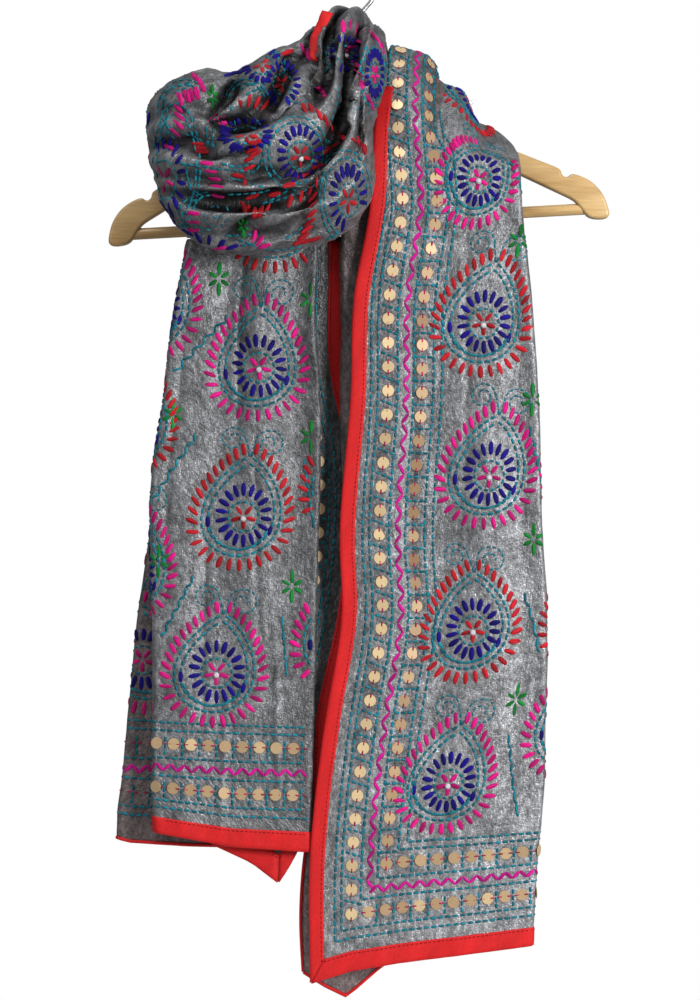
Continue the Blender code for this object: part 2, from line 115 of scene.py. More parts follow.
LEFT_FOLDS = (
    LeftFolds(0, -69, -128, -62, -216, -92),
    LeftFolds(30, -50, -112, -56, -215, -82),
    LeftFolds(64, -30, -94, -50, -211, -76),
    LeftFolds(124, -22, -88, -46, -205, -74),
    LeftFolds(208, -4, -84, -44, -197, -72),
    LeftFolds(280, 4, -80, -42, -187, -70),
    LeftFolds(359, 4, -76, -42, -176, -70),
    LeftFolds(438, -11, -76, -44, -164, -70),
    LeftFolds(523, -11, -74, -44, -152, -72),
    LeftFolds(554, -11, -74, -44, -148, -72),
)

RIGHT_DEPTHS = (0, 9, 18, 27)
LEFT_DEPTHS = (14, 7, 0, 21, 33, 27)
RIGHT_STEPS = (110, 10, 10, 40)
LEFT_STEPS = (16, 8, 84, 10, 36, 30)

Dip = namedtuple("Dip", "leg drop")

RIGHT_DIPS = (
    Dip(0.0, 10), Dip(0.18, 3), Dip(0.4, 1), Dip(1.0, 0),
    Dip(3.5, 0), Dip(3.62, 4), Dip(3.8, 31), Dip(3.9, 19), Dip(4.0, 4),
)
LEFT_DIPS = (
    Dip(0.0, 33), Dip(0.4, 18), Dip(1.0, 6), Dip(2.0, 0), Dip(2.5, 4), Dip(3.0, 0),
    Dip(4.5, 6), Dip(4.9, 12), Dip(5.1, 15), Dip(5.5, 12), Dip(6.0, 6),
)

# Long soft creases of a hanging end: leg is the layer and how far across it, width a share of the
# layer, depth towards the front, low and high the heights between which it runs, drift how far
# across the layer it wanders from low to high.
Crease = namedtuple("Crease", "leg width depth low high drift")

RIGHT_CREASES = (
    Crease(0.22, 0.10, 3.0, -60, 700, 0.0),
    Crease(0.48, 0.12, -4.0, 60, 760, 0.0),
    Crease(0.74, 0.12, 4.0, -60, 640, 0.0),
    Crease(0.90, 0.07, -3.0, 200, 760, 0.0),
    Crease(0.36, 0.030, -2.2, 250, 660, -0.05),
    Crease(0.60, 0.022, -1.6, 380, 730, 0.04),
    Crease(0.84, 0.026, -2.0, 90, 330, 0.05),
    Crease(0.66, 0.020, 1.5, -30, 180, -0.06),
    Crease(0.30, 0.018, 1.4, -20, 130, 0.05),
    Crease(0.50, 0.018, -1.5, 10, 240, 0.03),
    Crease(3.22, 0.08, 4.0, 60, 700, 0.04),
    Crease(3.50, 0.10, -4.5, -40, 640, -0.05),
    Crease(3.76, 0.07, 3.5, 120, 760, 0.03),
)
LEFT_CREASES = (
    Crease(0.00, 0.45, -12.0, 90, 540, 0.0),
    Crease(2.12, 0.10, -4.0, 180, 700, 0.0),
    Crease(2.38, 0.12, 5.0, 60, 700, 0.0),
    Crease(2.62, 0.08, -5.0, 330, 700, 0.0),
    Crease(2.80, 0.10, 3.0, -60, 420, 0.0),
    Crease(2.50, 0.028, -3.2, 330, 600, 0.05),
    Crease(2.34, 0.022, -2.0, 150, 420, 0.06),
    Crease(2.70, 0.026, -2.4, 90, 330, -0.04),
    Crease(2.90, 0.022, -2.0, 200, 520, 0.0),
    Crease(2.20, 0.020, 1.6, 20, 210, 0.05),
    Crease(2.58, 0.018, 1.6, -20, 150, -0.05),
    Crease(4.30, 0.08, -4.0, 20, 520, 0.04),
    Crease(4.62, 0.08, 4.0, -40, 420, -0.04),
)

Station = namedtuple("Station", "tx ty tz bx by bz bulge roll")

RIGHT_SHOULDER = (
    Station(17, -50, -170.1, 149, -50, -178.9, 0, 3),
    Station(20, -44, -134, 149, -35, -172, 2, 3),
    Station(27, -27, -92, 147, -18, -164, 3, 3),
    Station(34, -4, -67, 143, -2, -157, 3, 4),
    Station(38, 16, -76, 130, 15, -158, 5, 4),
)
NECK_BACK = (
    Station(16, 37, -94, 88, 36, -192, 9, 6),
    Station(-20, 46, -99, 16, 48, -224, 10, 7),
    Station(-70, 48, -101, -62, 52, -234, 10, 7),
    Station(-120, 40, -105, -118, 45, -226, 10, 7),
    Station(-156, 22, -110, -150, 24, -200, 9, 6),
    Station(-174, 3, -114, -166, 5, -188, 5, 4),
    Station(-181, -14, -117, -171, -14, -191, 5, 4),
)
COWL = (
    Station(-181, -46, -121, -164, -43, -219, 11, 7),
    Station(-162, -60, -107, -150, -68, -243, 29, 12),
    Station(-131, -70, -98, -123, -80, -260, 40, 14),
    Station(-109, -71, -101, -82, -84, -264, 44, 14),
    Station(-89, -69, -91, -38, -84, -256, 44, 14),
    Station(-71, -63, -79, -4, -80, -240, 40, 12),
    Station(-53, -55, -72, 16, -73, -206, 34, 10),
    Station(-40, -47, -61, 17, -68, -150, 26, 7),
    Station(-31, -38, -50, 28, -57, -104, 18, 4),
    Station(-22, -30, -42, 28, -36, -75, 9, 3),
)
HOOK_WRAP = (
    Station(9, -6, -42, 29, -6, -74, 5, 3),
    Station(2, 14, -47, 26, 17, -98, 5, 3),
    Station(-24, 16, -48, -6, 22, -126, 5, 3),
    Station(-36, 10, -48, -60, 19, -122, 5, 3),
    Station(-34, -2, -52, -82, 4, -98, 5, 3),
)
LEFT_SHOULDER = (
    Station(-28, -15, -86, -100, -14, -124, 4, 3),
    Station(-20, -20, -140, -132, -22, -160, 4, 3),
    Station(-14, -27, -205, -146, -34, -206, 4, 3),
    Station(-11, -28, -242, -151, -39, -245, 4, 3),
)
COWL_START = len(RIGHT_SHOULDER) + len(NECK_BACK)
COWL_END = COWL_START + len(COWL)

Fold = namedtuple("Fold", "rise width at")

SHOULDER_FOLDS = (
    Fold(11, 0.14, (None, 0.24, 0.22, 0.22, 0.26)),
    Fold(-4, 0.05, (None, 0.42, 0.40, 0.38, 0.40)),
    Fold(6, 0.08, (None, 0.54, 0.54, 0.54, 0.54)),
    Fold(-6, 0.09, (None, 0.78, 0.76, 0.74, 0.72)),
)
BACK_FOLDS = (
    Fold(-7, 0.07, (0.22, 0.20, 0.20, 0.22, 0.24, None, None)),
    Fold(6, 0.07, (0.36, 0.36, 0.38, 0.40, 0.42, None, None)),
    Fold(-8, 0.07, (0.50, 0.54, 0.56, 0.56, 0.58, None, None)),
    Fold(6, 0.07, (0.68, 0.70, 0.74, 0.74, 0.74, None, None)),
    Fold(-5, 0.05, (None, 0.86, 0.87, 0.86, 0.84, None, None)),
)
COWL_FOLDS = (
    Fold(-13, 0.060, (None, 0.22, 0.26, 0.12, None, None, None, None, None, None)),
    Fold(9, 0.070, (None, 0.32, 0.34, 0.17, 0.08, None, None, None, None, None)),
    Fold(-16, 0.055, (None, 0.43, 0.44, 0.30, 0.24, 0.15, 0.12, 0.06, None, None)),
    Fold(7, 0.050, (None, None, None, None, 0.34, 0.33, 0.27, 0.17, 0.10, 0.06)),
    Fold(-9, 0.045, (None, None, None, None, None, 0.38, 0.34, 0.24, 0.18, 0.16)),
    Fold(11, 0.090, (None, 0.55, 0.56, 0.47, 0.46, 0.46, 0.43, 0.41, 0.34, 0.32)),
    Fold(-12, 0.045, (None, 0.63, 0.64, 0.62, 0.64, 0.61, 0.57, 0.56, 0.52, 0.50)),
    Fold(6, 0.040, (None, 0.68, 0.69, 0.68, 0.71, 0.69, 0.68, 0.69, 0.67, 0.67)),
    Fold(-9, 0.040, (None, 0.73, 0.74, 0.74, 0.78, None, None, None, None, None)),
    Fold(8, 0.050, (None, 0.83, 0.84, 0.83, 0.86, 0.86, 0.84, 0.84, None, None)),
    Fold(-6, 0.035, (None, 0.91, 0.92, 0.91, 0.93, None, None, None, None, None)),
)
WRAP_FOLDS = (
    Fold(-3, 0.09, (0.30, 0.30, 0.34, 0.36, 0.36)),
    Fold(3, 0.09, (0.60, 0.58, 0.60, 0.62, 0.64)),
)
LEFT_SHOULDER_FOLDS = (
    Fold(3, 0.08, (0.30, 0.30, 0.30, 0.30)),
    Fold(-3, 0.08, (0.60, 0.56, 0.54, 0.54)),
)
STRETCHES = (
    (RIGHT_SHOULDER, SHOULDER_FOLDS),
    (NECK_BACK, BACK_FOLDS),
    (COWL, COWL_FOLDS),
    (HOOK_WRAP, WRAP_FOLDS),
    (LEFT_SHOULDER, LEFT_SHOULDER_FOLDS),
)

ROLL_ANGLE = math.radians(38)
RIM_FADE = 3.0
# The folds stand out less round the cowl's left turn.
EASED_STATIONS = (11.0, 12.4, 13.4, 15.0)
EASED_SHARES = (1.0, 0.45, 0.55, 1.0)
WOUND_COLUMNS = 132
WOUND_STEPS = 13

CowlTape = namedtuple("CowlTape", "station across width")

COWL_TAPE = (
    CowlTape(6.1, 0.185, 6),
    CowlTape(6.5, 0.150, 8),
    CowlTape(7.0, 0.125, 10),
    CowlTape(8.1, 0.085, 11),
)
COWL_TAPE_LIFT = 2.4
COWL_TAPE_TURN = 1.0
COWL_TAPE_STEP = 0.1
# The tape in section: how far across it, as a share of its width, and how high.
COWL_TAPE_SECTION = ((-0.5, -0.5), (-0.46, 0.3), (-0.2, 0.6), (0.2, 0.6), (0.46, 0.3), (0.5, -0.5))

# ---- the hanger's sizes ----------------------------------------------------------------------------

ARM_THICKNESS = 14.0
ARM_TILT = math.radians(3.2)
ARM_APEX = (-3.0, -105.0)
ARM_EDGE_ROUND = 2.6
BAR_RADIUS = 5.2
BAR_DROP = 122.0
BAR_HALF = 211.0
WIRE_RADIUS = 2.0
HOOK_INNER_RADIUS = 16.0
HOOK_STEM = ((-2.4, -85.0), (-1.4, -62.0), (0.2, -47.0), (3.4, -39.5))
HOOK_ARC = (-48, 201, 8)

ARM_TOP = (
    (0.0, 0.0), (14.0, -2.0), (30.0, -10.0), (90.0, -40.0), (144.0, -65.0), (186.5, -84.5),
    (187.5, -90.5), (192.0, -93.0), (196.5, -89.0), (208.0, -93.5), (217.0, -100.0),
    (225.0, -111.5), (229.0, -126.0), (228.0, -131.0),
)
ARM_UNDERSIDE = (
    (221.0, -132.5), (209.0, -130.5), (198.0, -114.0), (148.0, -87.0), (90.0, -57.0),
    (40.0, -35.0), (16.0, -27.0), (0.0, -25.0),
)

# ---- the embroidery's sizes ------------------------------------------------------------------------

# Lines of the border along a side edge, as distances from the edge.
SIDE_BORDER = {"lines": (23.0, 29.0, 46.7, 61.5, 79.5, 87.0), "sequins": (38.0, 69.0), "zigzag": 54.6}
HEM_BORDER = {"lines": (29.0, 37.0, 62.0, 79.0, 104.0, 111.0), "sequins": (50.0, 92.0), "zigzag": 70.0}
SEQUIN_RADIUS = 5.4
SEQUIN_LIFT = 0.55
SEQUIN_PITCH = 21.5
RUN_STITCH = 5.6
RUN_GAP = 1.05
RUN_WIDTH = 2.45
FINE_WIDTH = 1.75
SEAM_INSET = 2.0
SEAM_STITCH = 2.8
SEAM_GAP = 1.2
SEAM_WIDTH = 0.9
ZIGZAG_WIDTH = 3.3
PETAL_WIDTH = 4.3
# Sequins: the stitches that hold each, and the ladder lines that run between them.
HOLD_INSET = 0.9
HOLD_HALF = 2.2
HOLD_WIDTH = 1.4
LADDER_STITCH = 5.0
LADDER_GAP = 1.0
SIDE_LADDER = 9.5
HEM_LADDER = 10.5
HEM_PITCH = 15.5
SIDE_SLANTS = (3.4, 0.0)
# How pale each upright row of sequins is painted: the row nearer the edge pale as a painted reflection,
# the other darker.
SIDE_PAINTED_REFLECTIONS = (0.92, 0.42)
HEM_SHADE = 0.5
# Stepped lines: how long a step is, and the shares of its rise before and along its tread.
STAIR_PITCH = 13.5
STAIR_RISER = 0.68
STAIR_TREAD = 0.32
STAIR_WIDTH = 2.5
PAISLEY_TIP = 54.0
PAISLEY_SQUEEZE = 0.82
PAISLEY_LEAN = 8.0
PAISLEY_REACH = 11.5
HEART_SHIFT = 3.5
PAISLEY_PETALS = 34

Motif = namedtuple("Motif", "u v colour turn squeeze")


def unit(vectors):
    return vectors / np.maximum(np.linalg.norm(vectors, axis=-1, keepdims=True), 1e-9)


def smooth_rows(at, values, wanted):
    """Values given at rising places, read at others along one smooth curve through them."""
    at = np.asarray(at, float)
    values = np.asarray(values, float)
    slopes = np.gradient(values, at, axis=0)
    place = np.clip(np.searchsorted(at, wanted, side="right") - 1, 0, len(at) - 2)
    step = at[place + 1] - at[place]
    t = (wanted - at[place]) / step
    spread = (slice(None),) + (None,) * (values.ndim - 1)
    t = t[spread]
    step = step[spread]
    return (
        (2 * t**3 - 3 * t**2 + 1) * values[place]
        + (t**3 - 2 * t**2 + t) * step * slopes[place]
        + (3 * t**2 - 2 * t**3) * values[place + 1]
        + (t**3 - t**2) * step * slopes[place + 1]
    )


def table(rows, wanted):
    """A table's columns at the wanted values of its first column, as one named row each."""
    read = smooth_rows([row[0] for row in rows], [row[1:] for row in rows], np.asarray(wanted, float))
    return [type(rows[0])(v, *line) for v, line in zip(wanted, read)]


# ---- the hanging ends ------------------------------------------------------------------------------


def folded_line(turns, depths, steps):
    """One row across a folded end: (x, depth, leg) for each column, from edge to edge."""
    line = []
    last = len(depths) - 1
    for layer, depth in enumerate(depths):
        span = turns[layer + 1] - turns[layer]
        heading = math.copysign(1.0, span)
        start = FOLD_REACH if layer else 0.0
        end = FOLD_REACH if layer < last else 0.0
        for way in np.linspace(start, abs(span) - end, steps[layer] + 1):
            line.append((turns[layer] + heading * way, depth, layer + way / abs(span)))
        if layer == last:
            continue
        rise = depths[layer + 1] - depth
        for step in range(1, TURN_STEPS):
            angle = math.pi * step / TURN_STEPS
            x = turns[layer + 1] - heading * FOLD_REACH * (1 - math.sin(angle))
            line.append((x, depth + rise * (1 - math.cos(angle)) / 2, layer + 1))
    return line


def crease_depth(creases, leg, v):
    """How far the creases push the cloth towards the front at a place on it."""
    total = 0.0
    for crease in creases:
        if not crease.low < v < crease.high:
            continue
        share = (v - crease.low) / (crease.high - crease.low)
        middle = crease.leg + crease.drift * share
        fade = math.exp(-(((leg - middle) / crease.width) ** 2))
        total += crease.depth * math.sin(math.pi * share) * fade
    return total


def end_points(hem_z, rows, turns_of, depths, steps, dips, creases, heights):
    """Points of a hanging end, and the layer of each: a row for each height, a column for each place."""
    grid = []
    for row in table(rows, heights):
        slope = row.lift / (row.fold_x - row.edge_x)
        fade = math.exp(-((row.v / HEM_DIP_REACH) ** 2))
        line = []
        for x, depth, leg in folded_line(turns_of(row), depths, steps):
            drop = fade * np.interp(leg, [dip.leg for dip in dips], [dip.drop for dip in dips])
            z = hem_z + row.v + slope * (x - row.edge_x) - drop
            line.append((x, row.front_y + depth - crease_depth(creases, leg, row.v), z, leg))
        grid.append(line)
    grid = np.array(grid)
    return grid[:, :, :3], grid[0, :, 3]


def right_turns(row):
    folds = table(RIGHT_FOLDS, [row.v])[0]
    return (row.edge_x, row.fold_x, folds.second_x, folds.third_x, folds.rear_x)


def left_turns(row):
    folds = table(LEFT_FOLDS, [row.v])[0]
    return (
        folds.strip_x, folds.inner_x, row.edge_x, row.fold_x,
        folds.second_x, folds.side_x, folds.rear_x,
    )


# ---- the wound stretch -----------------------------------------------------------------------------


def fold_rise(across, wanted):
    """How far the folds of every stretch lift the cloth at each wanted station and place across."""
    total = np.zeros((len(wanted), len(across)))
    first = 0
    for stations, folds in STRETCHES:
        last = first + len(stations) - 1
        for fold in folds:
            known = [(first + i, at) for i, at in enumerate(fold.at) if at is not None]
            places = np.array([place for place, _ in known], float)
            within = np.clip(wanted, places[0], places[-1])
            centre = smooth_rows(places, [at for _, at in known], within)
            outside = np.clip(np.maximum(places[0] - wanted, wanted - places[-1]), 0.0, 1.0)
            strength = fold.rise * (1 - outside**2 * (3 - 2 * outside))
            total += strength[:, None] * np.exp(-(((across - centre[:, None]) / fold.width) ** 2))
        first = last + 1
    return total * np.interp(wanted, EASED_STATIONS, EASED_SHARES)[:, None]


def section_lines(wanted):
    """The line across the strip at each wanted station, its way outwards and how far it rounds."""
    stations = np.array([station for stretch, _ in STRETCHES for station in stretch], float)
    at = np.arange(len(stations))
    read = smooth_rows(at, stations, wanted)
    top, bottom, bulge, roll = read[:, 0:3], read[:, 3:6], read[:, 6], read[:, 7]
    middle = (stations[:, 0:3] + stations[:, 3:6]) / 2
    travel = smooth_rows(at, np.gradient(middle, axis=0), wanted)
    outward = unit(np.cross(unit(bottom - top), unit(travel)))
    return top, bottom, bulge, roll, outward


def wound_points(wanted, angles):
    """Points of the wound stretch at the wanted stations (0 for the first of RIGHT_SHOULDER), and at
    the angles of its rounded section: 0 at the edge, pi at the far side, past them the rolls."""
    top, bottom, bulge, roll, outward = section_lines(wanted)
    across = (1 - np.cos(angles)) / 2
    front = (angles >= 0) & (angles <= math.pi)
    lift = np.where(front, bulge[:, None], roll[:, None]) * np.sin(angles)
    lift += np.where(front, fold_rise(across, wanted) * np.clip(RIM_FADE * np.sin(angles), 0, 1), 0.0)
    along = top[:, None, :] + (bottom - top)[:, None, :] * across[None, :, None]
    return along + outward[:, None, :] * lift[:, :, None]


# ---- a cloth and what lies on it -------------------------------------------------------------------


def lengths_along(points, axis):
    """How far each point of a grid lies along its row (axis 1) or its column (axis 0)."""
    steps = np.linalg.norm(np.diff(points, axis=axis), axis=2)
    return np.insert(np.cumsum(steps, axis=axis), 0, 0.0, axis=axis)


def path_lengths(path):
    return np.concatenate([[0.0], np.cumsum(np.linalg.norm(np.diff(path, axis=0), axis=1))])


class Cloth:
    """A grid of points (rows, columns, xyz in mm), face side where columns cross rows."""

    def __init__(self, points, layers=None):
        self.points = points
        self.layers = layers
        # How deep each point is pressed into a cowl valley, which paints shade into its colour.
        self.pressed = np.zeros(points.shape[:2])
        self.u = lengths_along(points, 1)
        self.v = lengths_along(points, 0)
        self.settle()

    def settle(self):
        """Works the normals out again once points have moved."""
        self.normals = unit(np.cross(np.gradient(self.points, axis=1), np.gradient(self.points, axis=0)))

    def shades(self, tone, reach, deepening):
        """Painted shade and light at each point: darker down in folds and pressed valleys, lighter on
        ridges.
        """
        spread = self.points
        for _ in range(reach):
            for axis in (0, 1):
                wide = np.concatenate([spread.take([0], axis), spread, spread.take([-1], axis)], axis)
                count = spread.shape[axis]
                ends = [wide.take(range(start, start + count), axis) for start in range(3)]
                spread = (ends[0] + ends[1] + ends[2]) / 3
        proud = ((self.points - spread) * self.normals).sum(axis=-1)
        soft = np.clip(1 + deepening * proud, LEAST_SHADE, MOST_SHADE)
        return tone * soft * np.clip(1 - PRESSED_SHADE * self.pressed, LEAST_SHADE, MOST_SHADE)

    def flat_places(self):
        """Even places across and along the cloth, for its weave: rows keep step with each other."""
        width = np.convolve(np.pad(self.u[:, -1], 12, mode="edge"), np.ones(25) / 25, "valid")
        across = width[:, None] * np.linspace(0, 1, self.u.shape[1])[None, :]
        return across, np.repeat(self.v.mean(axis=1)[:, None], self.u.shape[1], axis=1)

    def crumple(self, height, across, along, seed):
        """Lifts the points by fine uneven wrinkles, across and along being their sizes in mm."""
        rows, columns = self.u.shape
        middle = columns // 2
        for r in range(rows):
            for c in range(columns):
                place = Vector((self.u[r, c] / across, self.v[r, middle] / along, seed))
                rise = noise.noise(place) + 0.5 * noise.noise(place * 2.3)
                self.points[r, c] += self.normals[r, c] * height * rise
        self.settle()

    def read(self, row, column):
        """The point and the normal at a place between the grid's points."""
        r = min(max(int(row), 0), self.u.shape[0] - 2)
        c = min(max(int(column), 0), self.u.shape[1] - 2)
        down = min(max(row - r, 0.0), 1.0)
        along = min(max(column - c, 0.0), 1.0)
        found = []
        for grid in (self.points, self.normals):
            near = grid[r, c] * (1 - along) + grid[r, c + 1] * along
            far = grid[r + 1, c] * (1 - along) + grid[r + 1, c + 1] * along
            found.append(near * (1 - down) + far * down)
        return found


def linked(name, data):
    """A mesh, curve, lamp or camera, put in the scene."""
    piece = bpy.data.objects.new(name, data)
    bpy.context.scene.collection.objects.link(piece)
    return piece


def grid_mesh(name, points, u, v, looks, wall, shades=None):
    """A sheet of even wall about a grid of points, with its flat place kept as a UV map in metres."""
    rows, columns = points.shape[:2]
    bm = bmesh.new()
    bmesh.ops.create_grid(bm, x_segments=columns - 1, y_segments=rows - 1, size=0.5)
    mesh = bpy.data.meshes.new(name)
    bm.to_mesh(mesh)
    bm.free()
    flat = np.empty(len(mesh.vertices) * 3)
    mesh.vertices.foreach_get("co", flat)
    flat = flat.reshape(-1, 3)
    column = np.rint((flat[:, 0] + 0.5) * (columns - 1)).astype(int)
    row = np.rint((flat[:, 1] + 0.5) * (rows - 1)).astype(int)
    mesh.vertices.foreach_set("co", (points[row, column] * MM).ravel())
    corner = np.empty(len(mesh.loops), int)
    mesh.loops.foreach_get("vertex_index", corner)
    cut = mesh.uv_layers.new(name="cut")
    place = np.stack([u[row, column], v[row, column]], axis=1) * MM
    cut.data.foreach_set("uv", place[corner].ravel())
    # The painted light and shade of the cloth, kept on its points for the finish.
    if shades is not None:
        shade = mesh.attributes.new("shade", "FLOAT", "POINT")
        shade.data.foreach_set("value", shades[row, column].astype(np.float32))
    mesh.shade_smooth()
    for look in looks:
        mesh.materials.append(look)
    piece = linked(name, mesh)
    solidify = piece.modifiers.new("wall", "SOLIDIFY")
    solidify.thickness = wall * MM
    solidify.offset = 0.0
    solidify.use_quality_normals = True
    if len(looks) > 1:
        solidify.material_offset = 1
    return piece


def stitch_form(sides, rings, fullness):
    """A grain of unit half length along x, blunter for more fullness, as (points, triangles)."""
    bm = bmesh.new()
    bmesh.ops.create_uvsphere(bm, u_segments=sides, v_segments=rings, radius=1.0)
    bmesh.ops.rotate(bm, verts=bm.verts, cent=(0, 0, 0), matrix=Matrix.Rotation(math.pi / 2, 3, "Y"))
    for vertex in bm.verts:
        girth = math.hypot(vertex.co.y, vertex.co.z)
        if girth > 0.01:
            full = (1 - abs(vertex.co.x) ** fullness) ** (1 / fullness) / girth
            vertex.co.y *= full
            vertex.co.z *= full
    bmesh.ops.triangulate(bm, faces=bm.faces)
    return taken(bm)


def cone_form(sides, top, depth):
    """A sequin's disc or a cut stone of unit radius, narrower at its top."""
    bm = bmesh.new()
    bmesh.ops.create_cone(bm, cap_ends=True, segments=sides, radius1=1.0, radius2=top, depth=depth)
    bmesh.ops.triangulate(bm, faces=bm.faces)
    return taken(bm)


def taken(bm):
    """A small form's points and triangles. The triangles are sorted, so that each run lists them in
    the same order, and each keeps the way it winds."""
    bm.verts.index_update()
    points = np.array([vertex.co for vertex in bm.verts])
    triangles = []
    for face in bm.faces:
        corners = [vertex.index for vertex in face.verts]
        first = corners.index(min(corners))
        triangles.append(corners[first:] + corners[:first])
    bm.free()
    return points, np.array(sorted(triangles))


def joined(name, copies, triangles, shades, look, lay=None, smooth=True):
    """Many copies of one small form as one mesh. copies is (count, points, xyz) in mm, and lay says
    where each point lies along and across its thread."""
    count, size = copies.shape[:2]
    faces = (triangles[None] + (np.arange(count) * size)[:, None, None]).reshape(-1, 3)
    mesh = bpy.data.meshes.new(name)
    mesh.vertices.add(count * size)
    mesh.vertices.foreach_set("co", (copies * MM).astype(np.float32).ravel())
    mesh.loops.add(faces.size)
    mesh.loops.foreach_set("vertex_index", faces.astype(np.int32).ravel())
    mesh.polygons.add(len(faces))
    mesh.polygons.foreach_set("loop_start", np.arange(0, faces.size, 3, dtype=np.int32))
    mesh.update(calc_edges=True)
    shade = mesh.attributes.new("shade", "FLOAT", "POINT")
    shade.data.foreach_set("value", np.repeat(shades, size).astype(np.float32))
    if lay is not None:
        strands = mesh.attributes.new("lay", "FLOAT_VECTOR", "POINT")
        strands.data.foreach_set("vector", lay.astype(np.float32).ravel())
    if smooth:
        mesh.shade_smooth()
    else:
        mesh.shade_flat()
    mesh.materials.append(look)
    return linked(name, mesh)


# ---- finishes --------------------------------------------------------------------------------------


class Wire:
    """A socket in a finish's nodes. Sums on it add their Math nodes."""

    def __init__(self, finish, socket):
        self.finish = finish
        self.socket = socket

    def maths(self, operation, first, second):
        return self.finish.node("ShaderNodeMath", {"operation": operation}, {0: first, 1: second})

    def __add__(self, other):
        return self.maths("ADD", self, other)

    def __mul__(self, other):
        return self.maths("MULTIPLY", self, other)


class Finish:
    """A material and the nodes that make it. Constants go straight on the shader's sockets."""

    def __init__(self, name, constants):
        self.material = bpy.data.materials.new(name)
        self.material.use_nodes = True
        self.tree = self.material.node_tree
        self.shader = self.tree.nodes["Principled BSDF"]
        for socket, value in constants.items():
            self.give(socket, value)

    def give(self, socket, value):
        self.feed(self.shader.inputs[socket], value)

    def feed(self, socket, value):
        if isinstance(value, Wire):
            self.tree.links.new(value.socket, socket)
        elif socket.type == "RGBA" and len(value) == 3:
            socket.default_value = (*value, 1.0)
        else:
            socket.default_value = value

    def node(self, kind, settings, sockets, out=0):
        made = self.tree.nodes.new(kind)
        for setting, value in settings.items():
            setattr(made, setting, value)
        for socket, value in sockets.items():
            self.feed(made.inputs[socket], value)
        return Wire(self, made.outputs[out])

    def place(self, source="Object"):
        """Where a point lies: in the piece's own space, or on the cloth laid flat."""
        if source == "Object":
            return self.node("ShaderNodeTexCoord", {}, {}, "Object")
        return self.node("ShaderNodeUVMap", {"uv_map": source}, {})

    def carried(self, name, out="Fac"):
        """What the mesh carries under a name."""
        return self.node("ShaderNodeAttribute", {"attribute_name": name}, {}, out)

    def speckle(self, place, scale, detail=2.0, roughness=0.5):
        return self.node(
            "ShaderNodeTexNoise", {},
            {"Vector": place, "Scale": scale, "Detail": detail, "Roughness": roughness},
        )

    def streaks(self, place, scale, detail, roughness):
        """Speckle of a different scale each way."""
        drawn = self.node("ShaderNodeMapping", {}, {"Vector": place, "Scale": scale})
        return self.speckle(drawn, 1.0, detail, roughness)

    def blend(self, share, first, second):
        return self.node(
            "ShaderNodeMix", {"data_type": "RGBA"}, {0: share, 6: first, 7: second}, 2
        )

    def shaded(self, colour, amount):
        """A colour made darker or lighter by an amount about 1."""
        return self.node(
            "ShaderNodeVectorMath", {"operation": "SCALE"}, {0: colour, "Scale": amount}
        )

    def ranged(self, value, low, high, new_low, new_high):
        return self.node(
            "ShaderNodeMapRange", {},
            {"Value": value, "From Min": low, "From Max": high, "To Min": new_low, "To Max": new_high},
        )

    def relief(self, height, distance, strength=1.0):
        bumped = self.node(
            "ShaderNodeBump", {}, {"Height": height, "Distance": distance, "Strength": strength}
        )
        self.feed(self.shader.inputs["Normal"], bumped)


def silk(name, colour, warm, shine, metal):
    """Silvery cloth: threads of uneven light and thickness both ways, with a soft metal glint."""
    finish = Finish(name, {"Sheen Weight": 0.10, "Sheen Roughness": 0.35, "Specular IOR Level": 0.6})
    cut = finish.place("cut")
    # shade carries each cloth's painted light and shade, multiplied into the silk's colour below.
    shade = finish.carried("shade")
    warp = finish.streaks(cut, (820.0, 380.0, 1.0), 2.0, 0.65)
    weft = finish.streaks(cut, (340.0, 780.0, 1.0), 2.0, 0.65)
    pucker = finish.streaks(cut, (190.0, 130.0, 1.0), 2.0, 0.6)
    cloud = finish.streaks(cut, (44.0, 30.0, 1.0), 3.0, 0.6)
    slub = (warp + weft) * 0.5
    tone = finish.ranged(slub, 0.36, 0.64, 0.56, 1.42) * finish.ranged(cloud, 0.3, 0.7, 0.60, 1.42)
    tone = tone * finish.ranged(pucker, 0.35, 0.65, 0.66, 1.34) * shade
    base = finish.blend(finish.ranged(weft, 0.4, 0.65, 0.0, 1.0), colour, warm)
    finish.give("Base Color", finish.shaded(base, tone))
    rough = finish.ranged(slub, 0.36, 0.64, shine + 0.12, shine - 0.10)
    finish.give("Roughness", rough)
    finish.give("Metallic", finish.ranged(slub, 0.36, 0.64, metal * 0.6, metal * 1.4))
    finish.relief(slub * 0.8 + pucker * 1.2 + cloud * 0.8, 0.0016, 0.9)
    return finish.material


def tape_finish():
    """Red poplin tape: a fine even weave, slightly rubbed."""
    finish = Finish("red_tape", {"Specular IOR Level": 0.3})
    cut = finish.place("cut")
    thread = finish.streaks(cut, (900.0, 260.0, 1.0), 2.0, 0.6)
    cloud = finish.streaks(cut, (60.0, 22.0, 1.0), 2.0, 0.5)
    tone = finish.ranged(thread, 0.3, 0.7, 0.86, 1.12) * finish.ranged(cloud, 0.3, 0.7, 0.86, 1.12)
    finish.give("Base Color", finish.shaded((0.68, 0.012, 0.014), tone))
    finish.give("Roughness", finish.ranged(thread, 0.3, 0.7, 0.72, 0.62))
    finish.relief(thread + cloud * 1.5, 0.0006, 0.5)
    return finish.material


def thread_finish(name, colour):
    """Embroidery thread: strands side by side, each stitch a little lighter or darker than the next."""
    finish = Finish(name, {"Specular IOR Level": 0.16, "Sheen Weight": 0.03})
    shade = finish.carried("shade")
    lay = finish.carried("lay", "Vector")
    strands = finish.speckle(lay, 1.0, 2.0, 0.6)
    tone = finish.ranged(shade, 0.0, 1.0, 0.62, 1.35) * finish.ranged(strands, 0.34, 0.66, 0.55, 1.4)
    finish.give("Base Color", finish.shaded(colour, tone))
    finish.give("Roughness", finish.ranged(strands, 0.3, 0.7, THREAD_ROUGHNESS, THREAD_ROUGHNESS + 0.15))
    finish.relief(strands, 0.0005, 0.8)
    return finish.material


